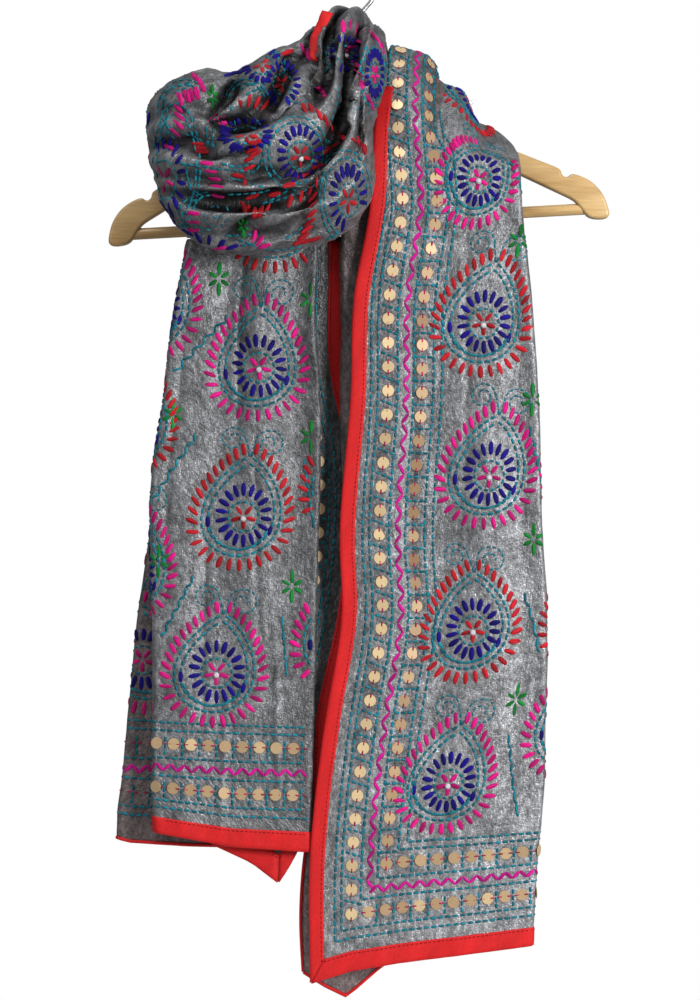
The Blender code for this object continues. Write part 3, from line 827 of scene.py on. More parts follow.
def sequin_finish():
    """Champagne foil, flat and even, with painted reflection: discs painted from deep tan to pale cream
    by row.
    """
    finish = Finish("champagne_foil", {"Metallic": 0.25, "Specular IOR Level": 0.7})
    shade = finish.carried("shade")
    scuff = finish.speckle(finish.place(), 700.0, 2.0)
    colour = finish.blend(shade, (0.24, 0.11, 0.05), (0.90, 0.68, 0.38))
    tone = finish.ranged(scuff, 0.3, 0.7, 0.92, 1.06)
    finish.give("Base Color", finish.shaded(colour, tone))
    finish.give("Roughness", finish.ranged(scuff, 0.3, 0.7, 0.42, 0.55))
    finish.relief(scuff, 0.0001, 0.2)
    return finish.material


def stone_finish():
    """Small bright glass stones with a foil back."""
    finish = Finish("foiled_glass", {"Metallic": 0.3, "Coat Weight": 1.0, "Coat Roughness": 0.03})
    shade = finish.carried("shade")
    colour = finish.blend(shade, (0.62, 0.68, 0.80), (0.95, 0.97, 1.0))
    finish.give("Base Color", colour)
    finish.give("Roughness", finish.ranged(shade, 0.0, 1.0, 0.22, 0.08))
    return finish.material


def wood_finish():
    """Pale varnished wood, grain running out along the arms, darker rings and fine pores."""
    finish = Finish("pale_wood", {"Coat Weight": 0.25, "Coat Roughness": 0.25})
    place = finish.place()
    grain = finish.streaks(place, (7.0, 60.0, 60.0), 4.0, 0.6)
    pores = finish.streaks(place, (45.0, 700.0, 700.0), 2.0, 0.6)
    cloud = finish.streaks(place, (5.0, 12.0, 12.0), 2.0, 0.5)
    ring = finish.ranged(grain, 0.38, 0.62, 0.0, 1.0)
    base = finish.blend(ring, (0.66, 0.44, 0.19), (0.48, 0.28, 0.10))
    tone = finish.ranged(pores, 0.3, 0.7, 0.88, 1.08) * finish.ranged(cloud, 0.3, 0.7, 0.92, 1.08)
    finish.give("Base Color", finish.shaded(base, tone))
    finish.give("Roughness", finish.ranged(grain, 0.3, 0.7, 0.34, 0.46))
    finish.relief(grain + pores * 0.4, 0.0003, 0.4)
    return finish.material


def steel_finish():
    """Bright plated wire with fine drawn lines."""
    finish = Finish("bright_steel", {"Metallic": 1.0, "Base Color": (0.72, 0.72, 0.74)})
    drawn = finish.speckle(finish.place(), 900.0, 2.0)
    finish.give("Roughness", finish.ranged(drawn, 0.3, 0.7, 0.18, 0.32))
    finish.relief(drawn, 0.0001, 0.3)
    return finish.material


def floor_finish():
    finish = Finish("pale_floor", {"Roughness": 0.85})
    grain = finish.speckle(finish.place(), 40.0, 3.0)
    tone = finish.ranged(grain, 0.3, 0.7, 0.97, 1.03)
    finish.give("Base Color", finish.shaded((0.86, 0.86, 0.85), tone))
    return finish.material


# ---- the cloths ------------------------------------------------------------------------------------


# How far a fold's painted shade darkens the cloth's colour, and its painted light lightens it.
LEAST_SHADE = 0.25
MOST_SHADE = 1.35
PRESSED_SHADE = 0.085

TUCK_LEFT = 0.13
TUCK_STATIONS = 2.5
SHOULDER_END = 5.0
SHOULDER_STEPS = 10
RIGHT_LINES = 185
LEFT_LINES = 140


def right_points():
    """The right end and its four layers, carried on up over the shoulder and drawn together there."""
    heights = np.linspace(0, RIGHT_ROWS[-1].v, RIGHT_LINES)
    tail, layers = end_points(
        RIGHT_HEM_Z, RIGHT_ROWS, right_turns, RIGHT_DEPTHS, RIGHT_STEPS,
        RIGHT_DIPS, RIGHT_CREASES, heights,
    )
    last = RIGHT_ROWS[-1]
    share = np.clip((tail[-1, :, 0] - last.edge_x) / (last.fold_x - last.edge_x), 0.0, 1.0)
    angles = np.arccos(1 - 2 * share)
    depth = tail[-1, :, 1] - last.front_y
    depth = np.where(layers < 1, 0.0, depth)
    wanted = np.linspace(0, SHOULDER_END, round(SHOULDER_END * SHOULDER_STEPS) + 1)[1:]
    shoulder = wound_points(wanted, angles)
    outward = section_lines(wanted)[4]
    tuck = 1 - (1 - TUCK_LEFT) * np.clip(wanted / TUCK_STATIONS, 0, 1) ** 0.8
    shoulder -= outward[:, None, :] * (depth[None, :] * tuck[:, None])[:, :, None]
    return np.concatenate([tail, shoulder]), layers, len(heights)


def left_points():
    """The left end, from where it hangs out of the wound stretch down to its hem."""
    heights = np.linspace(LEFT_ROWS[-1].v, 0, LEFT_LINES)
    return end_points(
        LEFT_HEM_Z, LEFT_ROWS, left_turns, LEFT_DEPTHS, LEFT_STEPS,
        LEFT_DIPS, LEFT_CREASES, heights,
    )


def wound_grid():
    last = sum(len(stretch) for stretch, _ in STRETCHES) - 1
    wanted = np.linspace(SHOULDER_END, last, round((last - SHOULDER_END) * WOUND_STEPS) + 1)
    angles = np.linspace(-ROLL_ANGLE, math.pi + ROLL_ANGLE, WOUND_COLUMNS + 1)
    return wound_points(wanted, angles), wanted


# ---- the stage -------------------------------------------------------------------------------------


LENS = 108.0
SENSOR = 36.0
DAYLIGHT = 0.22
BACKDROP = 1.0
FLOOR_RADIUS = 0.42
FLOOR_HEIGHT = -1.012

Lamp = namedtuple("Lamp", "name place target size power")

LAMPS = (
    Lamp("key", (1.5, -1.7, -0.15), (0.05, 0, -0.6), 0.7, 46),
    Lamp("fill", (-1.7, -2.0, 0.3), (0, 0, -0.5), 1.6, 9),
    Lamp("crown", (-0.3, -0.9, 1.4), (0, 0, -0.3), 0.8, 14),
)


def camera():
    lens = bpy.data.cameras.new("camera")
    lens.lens = LENS
    lens.sensor_width = SENSOR
    lens.clip_end = 50.0
    seat = linked("camera", lens)
    seat.location = [part * MM for part in EYE]
    seat.rotation_euler = (math.pi / 2, 0.0, 0.0)
    bpy.context.scene.camera = seat


def lamp(name, place, target, size, power):
    light = bpy.data.lights.new(name, "AREA")
    light.shape = "DISK"
    light.size = size
    light.energy = power
    seat = linked(name, light)
    seat.location = place
    seat.rotation_euler = (Vector(target) - Vector(place)).to_track_quat("-Z", "Y").to_euler()


def daylight(strength, seen):
    world = bpy.data.worlds.new("studio")
    world.use_nodes = True
    tree = world.node_tree
    tree.nodes.clear()
    near = tree.nodes.new("ShaderNodeBackground")
    near.inputs["Color"].default_value = (0.97, 0.98, 1.0, 1.0)
    near.inputs["Strength"].default_value = strength
    far = tree.nodes.new("ShaderNodeBackground")
    far.inputs["Color"].default_value = (1.0, 1.0, 1.0, 1.0)
    far.inputs["Strength"].default_value = seen
    path = tree.nodes.new("ShaderNodeLightPath")
    both = tree.nodes.new("ShaderNodeMixShader")
    out = tree.nodes.new("ShaderNodeOutputWorld")
    tree.links.new(path.outputs["Is Camera Ray"], both.inputs[0])
    tree.links.new(near.outputs[0], both.inputs[1])
    tree.links.new(far.outputs[0], both.inputs[2])
    tree.links.new(both.outputs[0], out.inputs["Surface"])
    bpy.context.scene.world = world


def floor(look):
    bm = bmesh.new()
    bmesh.ops.create_circle(bm, cap_ends=True, segments=96, radius=FLOOR_RADIUS)
    bmesh.ops.translate(bm, verts=bm.verts, vec=(0, 0, FLOOR_HEIGHT))
    mesh = bpy.data.meshes.new("floor")
    bm.to_mesh(mesh)
    bm.free()
    mesh.materials.append(look)
    linked("floor", mesh)


# ---- the hanger ------------------------------------------------------------------------------------


def hanger_place():
    turn = Matrix.Rotation(-ARM_TILT, 4, "Y")
    return Matrix.Translation((ARM_APEX[0] * MM, 0.0, ARM_APEX[1] * MM)) @ turn


def kept_mesh(name, bm, look, sharp=None):
    mesh = bpy.data.meshes.new(name)
    bm.to_mesh(mesh)
    bm.free()
    mesh.materials.append(look)
    mesh.shade_smooth()
    if sharp is not None:
        mesh.set_sharp_from_angle(angle=math.radians(sharp))
    return linked(name, mesh)


def rounded(points, cuts=3):
    """An outline with its corners worn round by cutting each corner off, cuts times."""
    for _ in range(cuts):
        finer = []
        for (ax, az), (bx, bz) in zip(points, points[1:] + points[:1]):
            reach = min(0.25, 3.0 / max(math.hypot(bx - ax, bz - az), 0.1))
            finer.append((ax + (bx - ax) * reach, az + (bz - az) * reach))
            finer.append((bx - (bx - ax) * reach, bz - (bz - az) * reach))
        points = finer
    return points


def hanger_arms(look):
    right = list(ARM_TOP) + list(ARM_UNDERSIDE)
    outline = rounded(right + [(-x, z) for x, z in reversed(right[1:-1])], 2)
    bm = bmesh.new()
    front = bm.faces.new([bm.verts.new((x * MM, -ARM_THICKNESS / 2 * MM, z * MM)) for x, z in outline])
    swept = bmesh.ops.extrude_face_region(bm, geom=[front])
    moved = [item for item in swept["geom"] if isinstance(item, bmesh.types.BMVert)]
    bmesh.ops.translate(bm, verts=moved, vec=(0, ARM_THICKNESS * MM, 0))
    bmesh.ops.recalc_face_normals(bm, faces=bm.faces)
    rims = [edge for edge in bm.edges if edge.verts[0].co.y * edge.verts[1].co.y > 0]
    bmesh.ops.bevel(
        bm, geom=rims, offset=ARM_EDGE_ROUND * MM, offset_type="OFFSET", segments=4, profile=0.5,
        affect="EDGES", clamp_overlap=True, material=-1,
    )
    bm.transform(hanger_place())
    return kept_mesh("wooden_arms", bm, look, 35)


def hanger_bar(look):
    bm = bmesh.new()
    bmesh.ops.create_cone(
        bm, cap_ends=True, segments=40, radius1=BAR_RADIUS * MM, radius2=BAR_RADIUS * MM,
        depth=2 * BAR_HALF * MM,
        matrix=Matrix.Translation((0, 0, -BAR_DROP * MM)) @ Matrix.Rotation(math.pi / 2, 4, "Y"),
    )
    bm.transform(hanger_place())
    return kept_mesh("wooden_bar", bm, look, 40)


def hanger_hook(look):
    radius = HOOK_INNER_RADIUS + WIRE_RADIUS
    route = [(ARM_APEX[0], ARM_APEX[1] - 4.0), *HOOK_STEM]
    for degrees in range(*HOOK_ARC):
        angle = math.radians(degrees)
        route.append((radius * math.cos(angle), -HOOK_INNER_RADIUS + radius * math.sin(angle)))
    curve = bpy.data.curves.new("hook_wire", "CURVE")
    curve.dimensions = "3D"
    curve.bevel_depth = WIRE_RADIUS * MM
    curve.bevel_resolution = 4
    curve.use_fill_caps = True
    spline = curve.splines.new("POLY")
    spline.points.add(len(route) - 1)
    for point, (x, z) in zip(spline.points, route):
        point.co = (x * MM, 0.0, z * MM, 1.0)
    curve.materials.append(look)
    return linked("steel_hook", curve)


# ---- embroidery, drawn flat ------------------------------------------------------------------------

# A stitch runs from (x0, y0) to (x1, y1) in mm on the cloth laid flat, y towards a motif's tip.
Stitch = namedtuple("Stitch", "thread x0 y0 x1 y1 width")
Spot = namedtuple("Spot", "kind x y shade")


def run_stitches(path, thread, width=RUN_WIDTH, length=RUN_STITCH, gap=RUN_GAP, start=0.0):
    """Running stitches along a path of points, each bending only as far as its own ends."""
    path = np.asarray(path, float)
    along = path_lengths(path)
    sewn = []
    at = start
    while at + length * 0.6 < along[-1]:
        ends = (at, min(at + length, along[-1]))
        (x0, x1), (y0, y1) = (np.interp(ends, along, path[:, i]) for i in (0, 1))
        sewn.append(Stitch(thread, x0, y0, x1, y1, width))
        at += length + gap
    return sewn


def ring_of_petals(x, y, count, inner, outer, thread, turn=0.0, width=PETAL_WIDTH):
    sewn = []
    for step in range(count):
        angle = turn + 2 * math.pi * step / count
        c, s = math.cos(angle), math.sin(angle)
        sewn.append(Stitch(thread, x + inner * c, y + inner * s, x + outer * c, y + outer * s, width))
    return sewn


def circle(x, y, radius, thread, width=RUN_WIDTH, length=4.4, gap=1.5):
    turns = np.linspace(0, 2 * math.pi, 49)
    path = np.stack([x + radius * np.cos(turns), y + radius * np.sin(turns)], axis=1)
    return run_stitches(path, thread, width, length, gap)


def curl(x, y, radius, start, turns, thread="teal"):
    """A spiral of fine stitches that winds in from its rim; turns is negative for clockwise."""
    share = np.linspace(0, 1, 60)
    angle = start + 2 * math.pi * turns * share
    reach = radius * (1 - 0.84 * share**1.4)
    path = np.stack([x + reach * np.cos(angle), y + reach * np.sin(angle)], axis=1)
    return run_stitches(path, thread, FINE_WIDTH, 4.2, 1.2)


def rosette(x, y, heart, size=1.0):
    """A small flower with a stone, in a ring of running stitches and blue petals."""
    sewn = ring_of_petals(x, y, 5, 2.2 * size, 11.2 * size, heart, -math.pi / 2, 3.9)
    sewn += circle(x, y, 13.4 * size, "teal")
    petals = ring_of_petals(0, 0, 18, 15.4 * size, 26.4 * size, "blue", 0.2, 4.5)
    sewn += moved(petals, x, y + 1.5 * size, 0.0, 1, 0.94, 1.10)
    return sewn + [Spot("stone", x, y - 2.0 * size, 0.8)]


def teardrop(offset):
    """The outline of a paisley about its ring's centre, grown outwards by an offset."""
    t = np.linspace(0.0, 2 * math.pi, 181)
    x = 49.0 * np.sin(t) * np.sin(t / 2) ** 0.55
    y = PAISLEY_TIP - 44.5 + 44.5 * np.cos(t)
    x = PAISLEY_SQUEEZE * x + PAISLEY_LEAN * ((y - PAISLEY_TIP + 89) / 89) ** 2
    line = np.stack([x, y], axis=1)
    ways = np.gradient(line, axis=0)
    normal = unit(np.stack([-ways[:, 1], ways[:, 0]], axis=1))
    normal[0] = normal[-1] = (0.0, 1.0)
    return line + normal * offset, normal


def paisley(petals, heart, size=1.0):
    """A paisley: two lines of running stitches, petals round them, a rosette and two curls."""
    sewn = []
    for offset in (-5.5, 0.0):
        line, normal = teardrop(offset)
        sewn += run_stitches(line[6:-6], "teal")
    line, normal = teardrop(3.0)
    along = path_lengths(line)
    for at in np.linspace(4.5, along[-1] - 5.0, PAISLEY_PETALS):
        x, y = (np.interp(at, along, line[:, i]) for i in (0, 1))
        nx, ny = (np.interp(at, along, normal[:, i]) for i in (0, 1))
        rise = min(max((y + 26) / 60, 0.0), 1.0)
        way = np.array([nx, ny + 1.7 * rise])
        way /= np.linalg.norm(way)
        outer = (x + way[0] * PAISLEY_REACH, y + way[1] * PAISLEY_REACH)
        sewn.append(Stitch(petals, x, y, *outer, PETAL_WIDTH))
    sewn += rosette(HEART_SHIFT, 0, heart)
    turns = np.linspace(math.radians(200), math.radians(340), 25)
    sewn += run_stitches(np.stack([27 * np.cos(turns), 29.5 * np.sin(turns)], axis=1), "teal")
    sewn.append(Stitch("blue", -27.5, 1.0, -27.0, -9.5, 4.4))
    sewn.append(Stitch("blue", 25.5, -17.0, 28.0, -7.5, 4.0))
    lean, tip = PAISLEY_LEAN, PAISLEY_TIP
    left_stem = [(lean - 0.5, tip), (lean - 1, tip + 8), (lean - 4, tip + 17)]
    right_stem = [(lean + 0.5, tip), (lean + 3, tip + 6), (lean + 4, tip + 12)]
    for stem in (left_stem, right_stem):
        sewn += run_stitches(stem, "teal", FINE_WIDTH)
    sewn += curl(lean - 15.3, tip + 17, 11.5, 0.0, 1.75)
    sewn += curl(lean + 17, tip + 12, 13.0, math.pi, -1.75)
    return [grown(mark, size) for mark in sewn]


def grown(mark, size):
    if isinstance(mark, Spot):
        return mark._replace(x=mark.x * size, y=mark.y * size)
    return mark._replace(x0=mark.x0 * size, y0=mark.y0 * size, x1=mark.x1 * size, y1=mark.y1 * size)


def star():
    """Six green petals about a point, the two upright ones longer."""
    sewn = ring_of_petals(0, 0, 6, 2.0, 10.6, "green", math.pi / 6, 3.7)
    return [moved([mark], 0, 0, 0.0, 1, 1.0, 1.45 if abs(mark.x1) < 1 else 1.1)[0] for mark in sewn]


def stairs(x0, y0, x1, y1):
    """Straight stitches that climb from one place to another in steps."""
    pairs = max(3, round(math.hypot(x1 - x0, y1 - y0) / STAIR_PITCH))
    dx, dy = (x1 - x0) / pairs, (y1 - y0) / pairs
    sewn = []
    x, y = x0, y0
    for _ in range(pairs):
        for step_x, step_y in ((0.0, STAIR_RISER * dy), (dx, STAIR_TREAD * dy)):
            sewn.append(Stitch("teal", x, y, x + step_x, y + step_y, STAIR_WIDTH))
            x, y = x + step_x, y + step_y
    return sewn


def moved(marks, x, y, turn=0.0, flip=1, squeeze=1.0, rise=1.0):
    """Marks set down at a place on the cloth, turned, and mirrored where flip is -1."""
    c, s = math.cos(turn), math.sin(turn)

    def put(px, py):
        px *= squeeze
        py *= rise
        return x + flip * (px * c - py * s), y + px * s + py * c

    done = []
    for mark in marks:
        if isinstance(mark, Spot):
            px, py = put(mark.x, mark.y)
            done.append(mark._replace(x=px, y=py))
        else:
            ax, ay = put(mark.x0, mark.y0)
            bx, by = put(mark.x1, mark.y1)
            done.append(mark._replace(x0=ax, y0=ay, x1=bx, y1=by))
    return done


def straight(start, end):
    """A straight line's start and length, and the ways along it and to its side."""
    start, end = np.array(start, float), np.array(end, float)
    length = np.linalg.norm(end - start)
    way = (end - start) / length
    return start, length, way, np.array([-way[1], way[0]])


def zigzag(start, end, reach, period):
    """A braid that runs from start to end in even bends to either side."""
    start, length, way, side = straight(start, end)
    bends = max(2, round(length / (period / 2)))
    points = [
        start + way * length * bend / bends + side * reach * (1 if bend % 2 else -1)
        for bend in range(bends + 1)
    ]
    return [Stitch("magenta", *a, *b, ZIGZAG_WIDTH) for a, b in zip(points, points[1:])]


def sequin_row(start, end, pitch, crossed, slant, shade):
    """Sequins at even steps, each held by two stitches over its rim, with ladder lines between."""
    start, length, way, side = straight(start, end)
    count = int(length / pitch)
    sewn = []
    for step in range(count + 1):
        centre = start + way * pitch * step
        sewn.append(Spot("sequin", centre[0], centre[1], shade))
        for sign in (-1, 1):
            rim = centre + way * sign * (SEQUIN_RADIUS - HOLD_INSET)
            sewn.append(Stitch("rim", *(rim - way * HOLD_HALF), *(rim + way * HOLD_HALF), HOLD_WIDTH))
        if step < count:
            middle = centre + way * pitch / 2
            ends = [
                middle + side * reach + way * slant * reach / crossed for reach in (-crossed, crossed)
            ]
            sewn += run_stitches(ends, "teal", length=LADDER_STITCH, gap=LADDER_GAP)
    return sewn


def border(width, top, sides=True):
    """The border along one side edge and the hem, mitred where they meet. x is from the edge."""
    sewn = []
    for a, h in zip(SIDE_BORDER["lines"], HEM_BORDER["lines"]):
        if sides:
            sewn += run_stitches([(a, h), (a, top)], "teal")
        sewn += run_stitches([(a, h), (width, h)], "teal", start=RUN_GAP)
    corner = (SIDE_BORDER["zigzag"], HEM_BORDER["zigzag"])
    if sides:
        sewn += zigzag(corner, (corner[0], top), 3.0, 18.0)
    sewn += zigzag(corner, (width, corner[1]), 3.4, 13.0)
    for row, (a, h) in enumerate(zip(SIDE_BORDER["sequins"], HEM_BORDER["sequins"])):
        if sides:
            upright = (SEQUIN_PITCH, SIDE_LADDER, SIDE_SLANTS[row], SIDE_PAINTED_REFLECTIONS[row])
            sewn += sequin_row((a, h), (a, top), *upright)
        sewn += sequin_row((a + HEM_PITCH, h), (width, h), HEM_PITCH, HEM_LADDER, 0.0, HEM_SHADE)
    return sewn


def tape_seam(start, end, top):
    """The stitches that hold a bound edge, along the hem from start to end and up the side to a top."""
    foot = HEM_TAPE - SEAM_INSET
    paths = [[(start, foot), (end, foot)]]
    if top:
        paths.append([(SIDE_TAPE - SEAM_INSET, foot), (SIDE_TAPE - SEAM_INSET, top)])
    sewn = []
    for path in paths:
        sewn += run_stitches(path, "scarlet", SEAM_WIDTH, SEAM_STITCH, SEAM_GAP)
    return sewn


# ---- embroidery, laid on the cloth -----------------------------------------------------------------

THREADS = {
    "teal": (0.008, 0.19, 0.255),
    "pink": (0.56, 0.006, 0.18),
    "magenta": (0.50, 0.006, 0.23),
    "rim": (0.45, 0.010, 0.09),
    "scarlet": (0.34, 0.006, 0.010),
    "red": (0.43, 0.010, 0.018),
    "blue": (0.006, 0.002, 0.165),
    "green": (0.005, 0.19, 0.028),
}


# A stitch is left out where the cloth under it is this much shorter or longer than it is.
LEAST_STRETCH = 0.55
FLAT_STRETCH = 1.5
SEEN_STRETCH = 2.5
STRANDS = 2.6
THREAD_ROUGHNESS = 0.55
# Threads that lie on a sequin or on a tape, not on the silk.
THREAD_LIFTS = {"rim": SEQUIN_LIFT, "scarlet": 1.15}
STONE_RADIUS = 2.7
STONE_LIFT = 2.4
SEQUIN_SINK = 0.1
# How unevenly sequins and stones are tilted and coloured, and how a stitch's width varies.
SPOT_TILT = 0.05
SPOT_SPREAD = 0.12
WIDTH_RANGE = (0.88, 1.12)
# A wider stitch than this is a satin petal. How thick each is as a share of its width.
PETAL_FROM = 3.0
THICKNESS = {"petal": 0.38, "run": 0.55}
THREAD_REST = 0.16
STITCH_OVERLAP = 1.02


class Needlework:
    """What is sewn on one cloth: a mesh for each thread, the sequins and the stones."""

    def __init__(self, name, cloth, seed):
        self.name = name
        self.cloth = cloth
        self.chance = random.Random(seed)
        self.stitches = {}
        self.spots = {}

    def sew(self, marks, place, side=1, stretch=FLAT_STRETCH):
        """Lays marks on the cloth, by a way to find their places; side -1 is the reverse."""
        for mark in marks:
            if isinstance(mark, Spot):
                self.set_spot(mark, place, side)
                continue
            ends = [(mark.x0, mark.y0), ((mark.x0 + mark.x1) / 2, (mark.y0 + mark.y1) / 2),
                    (mark.x1, mark.y1)]
            found = [place(*end) for end in ends]
            if any(seat is None for seat in found):
                continue
            (first, _), (middle, normal), (last, _) = (self.cloth.read(*seat) for seat in found)
            length = math.hypot(mark.x1 - mark.x0, mark.y1 - mark.y0)
            if not LEAST_STRETCH < np.linalg.norm(last - first) / length < stretch:
                continue
            form = "petal" if mark.width > PETAL_FROM else "run"
            shade = self.chance.random()
            width = mark.width * self.chance.uniform(*WIDTH_RANGE)
            row = (first, middle, last, normal * side, width, shade)
            self.stitches.setdefault((mark.thread, form, side), []).append(row)

    def set_spot(self, mark, place, side):
        seat = place(mark.x, mark.y)
        if seat is None or side < 0:
            return
        point, normal = self.cloth.read(*seat)
        tilt = np.array([self.chance.gauss(0, SPOT_TILT) for _ in range(3)])
        shade = min(max(self.chance.gauss(mark.shade, SPOT_SPREAD), 0.0), 1.0)
        self.spots.setdefault(mark.kind, []).append((point, unit(normal + tilt), shade))

    def make(self, looks, forms):
        pieces = []
        for (thread, form, side), rows in sorted(self.stitches.items()):
            base, triangles = forms[form]
            first, middle, last, normal, width, shade = (np.array(part) for part in zip(*rows))
            half = (last - first) / 2
            bend = (first + last) / 2 - middle
            across = unit(np.cross(normal, half))
            t, y, z = base[:, 0], base[:, 1], base[:, 2]
            thick = width * THICKNESS[form]
            points = middle[:, None] + half[:, None] * (t * STITCH_OVERLAP)[None, :, None]
            points += bend[:, None] * (t**2)[None, :, None]
            points += across[:, None] * (y[None] * width[:, None] / 2)[:, :, None]
            lift = CLOTH_WALL / 2 + thick * THREAD_REST + THREAD_LIFTS.get(thread, 0.0)
            points += normal[:, None] * (z[None] * thick[:, None] / 2 + lift[:, None])[:, :, None]
            word = f"{thread}_{form}_{self.name}" + ("_reverse" if side < 0 else "")
            seed = 40 * shade[:, None] * np.ones(len(t))[None]
            ways = (0.5 * t, STRANDS * y, STRANDS * z)
            lay = np.stack([way[None] + seed for way in ways], axis=-1)
            pieces.append(joined(word, points, triangles, shade, looks[thread], lay))
        for kind, rows in sorted(self.spots.items()):
            base, triangles = forms[kind]
            point, normal, shade = (np.array(part) for part in zip(*rows))
            radius = SEQUIN_RADIUS if kind == "sequin" else STONE_RADIUS
            one = unit(np.cross(normal, np.array([0.3, 0.1, 1.0])))
            two = np.cross(normal, one)
            lift = CLOTH_WALL / 2 + (SEQUIN_LIFT - SEQUIN_SINK if kind == "sequin" else STONE_LIFT)
            points = point[:, None] + normal[:, None] * (base[:, 2] * radius + lift)[None, :, None]
            points = points + one[:, None] * (base[:, 0] * radius)[None, :, None]
            points = points + two[:, None] * (base[:, 1] * radius)[None, :, None]
            word = f"{kind}s_{self.name}"
            pieces.append(joined(word, points, triangles, shade, looks[kind], smooth=False))
        return pieces


def chart(cloth, heights, shown, origin="near", drift=((0, 0), (1, 0))):
    """Finds places on a hanging end from how far in they are and how high above the hem. Places on
    layers out of sight, outside the shown ones, are None."""
    order = np.argsort(heights)
    rising = heights[order]
    columns = np.arange(cloth.u.shape[1])
    anchor = 0
    if origin not in ("near", "far"):
        anchor = int(np.argmin(np.abs(cloth.layers - origin)))

    def place(x, y):
        if not rising[0] <= y <= rising[-1]:
            return None
        x += float(np.interp(y, [stop[0] for stop in drift], [stop[1] for stop in drift]))
        row = float(np.interp(y, rising, order.astype(float)))
        above = min(int(row), cloth.u.shape[0] - 2)
        part = row - above
        line = cloth.u[above] * (1 - part) + cloth.u[above + 1] * part
        u = line[-1] - x if origin == "far" else line[anchor] + x
        if not line[0] <= u <= line[-1]:
            return None
        column = float(np.interp(u, line, columns))
        leg = float(np.interp(column, columns, cloth.layers))
        if not any(low <= leg <= high for low, high in shown):
            return None
        return row, column

    return place


def walk_from(cloth, row, column, turn=0.0):
    """Finds places on a cloth by walking from one of its points, x to the right as it is seen from
    outside and y upwards, turned by an angle."""
    _, normal = cloth.read(row, column)
    right = unit(np.cross(np.array([0.0, 0.0, 1.0]), normal))
    up = np.cross(normal, right)
    r, c = int(row), int(column)
    across = unit(cloth.points[r, c + 1] - cloth.points[r, c])
    onward = unit(cloth.points[r + 1, c] - cloth.points[r, c])
    frame_now = np.array([[across @ right, onward @ right], [across @ up, onward @ up]])
    back = np.linalg.inv(frame_now)
    cosine, sine = math.cos(turn), math.sin(turn)
    columns = np.arange(cloth.u.shape[1])
    rows = np.arange(cloth.v.shape[0])
    line = cloth.u[r] * (1 - (row - r)) + cloth.u[r + 1] * (row - r)
    here = float(np.interp(column, columns, line))

    def place(x, y):
        x, y = x * cosine - y * sine, x * sine + y * cosine
        du, dv = back @ np.array([x, y])
        u = here + du
        if not line[0] + 1 <= u <= line[-1] - 1:
            return None
        at = float(np.interp(u, line, columns))
        c0 = min(int(at), cloth.v.shape[1] - 2)
        rise = cloth.v[:, c0] * (1 - (at - c0)) + cloth.v[:, c0 + 1] * (at - c0)
        v = float(np.interp(row, rows, rise)) + dv
        if not rise[0] <= v <= rise[-1]:
            return None
        return float(np.interp(v, rise, rows)), at

    return place


# ---- tapes -----------------------------------------------------------------------------------------

# A bound edge in section: how far in from the edge, and how high over the middle of the cloth.
BOUND_EDGE = (
    (1.6, -0.95), (-0.5, -0.95), (-0.95, 0.1), (-0.3, 1.05), (2.0, 1.2), (5.0, 1.25), (8.5, 1.2),
    (11.2, 1.1), (12.2, 0.75),
)


def edge_point(cloth, u, v, lift, heights, far=False):
    """A point over a cloth at u in from its edge; a little outside it where u is below nothing."""
    rows = np.arange(len(heights))
    order = np.argsort(heights)
    row = float(np.interp(v, heights[order], rows[order].astype(float)))
    r = min(int(row), len(heights) - 2)
    part = row - r
    line = cloth.u[r] * (1 - part) + cloth.u[r + 1] * part
    wanted = line[-1] - u if far else u
    column = float(np.interp(wanted, line, np.arange(len(line))))
    point, normal = cloth.read(row, column)
    outside = max(0.0, -u)
    if outside:
        a, b = (-1, -2) if far else (0, 1)
        way = unit(cloth.points[r, a] - cloth.points[r, b])
        point = point + way * outside
    below = max(0.0, -v)
    if below:
        low, high = (order[0], order[1])
        c = min(int(column), len(line) - 2)
        point = point + unit(cloth.points[low, c] - cloth.points[high, c]) * below
    return point + normal * lift


def edge_tape(name, cloth, heights, top, look, far=False):
    """The tape bound round one side edge of an end, cut at a slant where it meets the hem's."""
    stops = heights[(heights >= 0) & (heights <= top)]
    stops = np.sort(stops)[::2]
    points = np.zeros((len(stops), len(BOUND_EDGE), 3))
    for i, v in enumerate(stops):
        for j, (u, lift) in enumerate(BOUND_EDGE):
            slant = HEM_TAPE * max(u, 0.0) / SIDE_TAPE + 0.25
            at = v + slant * max(0.0, 1 - v / 45)
            points[i, j] = edge_point(cloth, u, at, lift, heights, far)
    return tape_piece(name, points, look, far)


def hem_tape(name, cloth, heights, look):
    """The tape bound round the hem of an end, through all its folds."""
    low = int(np.argmin(heights))
    line = cloth.u[low]
    total = line[-1]
    stops = line[::2] if line[::2][-1] == total else np.append(line[::2], total)
    points = np.zeros((len(BOUND_EDGE), len(stops), 3))
    for i, (h, lift) in enumerate(BOUND_EDGE):
        v = h * HEM_TAPE / SIDE_TAPE if h > 0 else h
        for j, u in enumerate(stops):
            slant = SIDE_TAPE * max(v, 0.0) / HEM_TAPE + 0.25
            near = slant * max(0.0, 1 - u / 45)
            far = slant * max(0.0, 1 - (total - u) / 45)
            points[i, j] = edge_point(cloth, u + near - far, v, lift, heights)
    return tape_piece(name, points, look, heights[0] > heights[-1])


def tape_piece(name, points, look, turned):
    if turned:
        points = points[:, ::-1]
    u, v = lengths_along(points, 1), lengths_along(points, 0)
    return grid_mesh(name, points, u, v, (look,), TAPE_WALL)


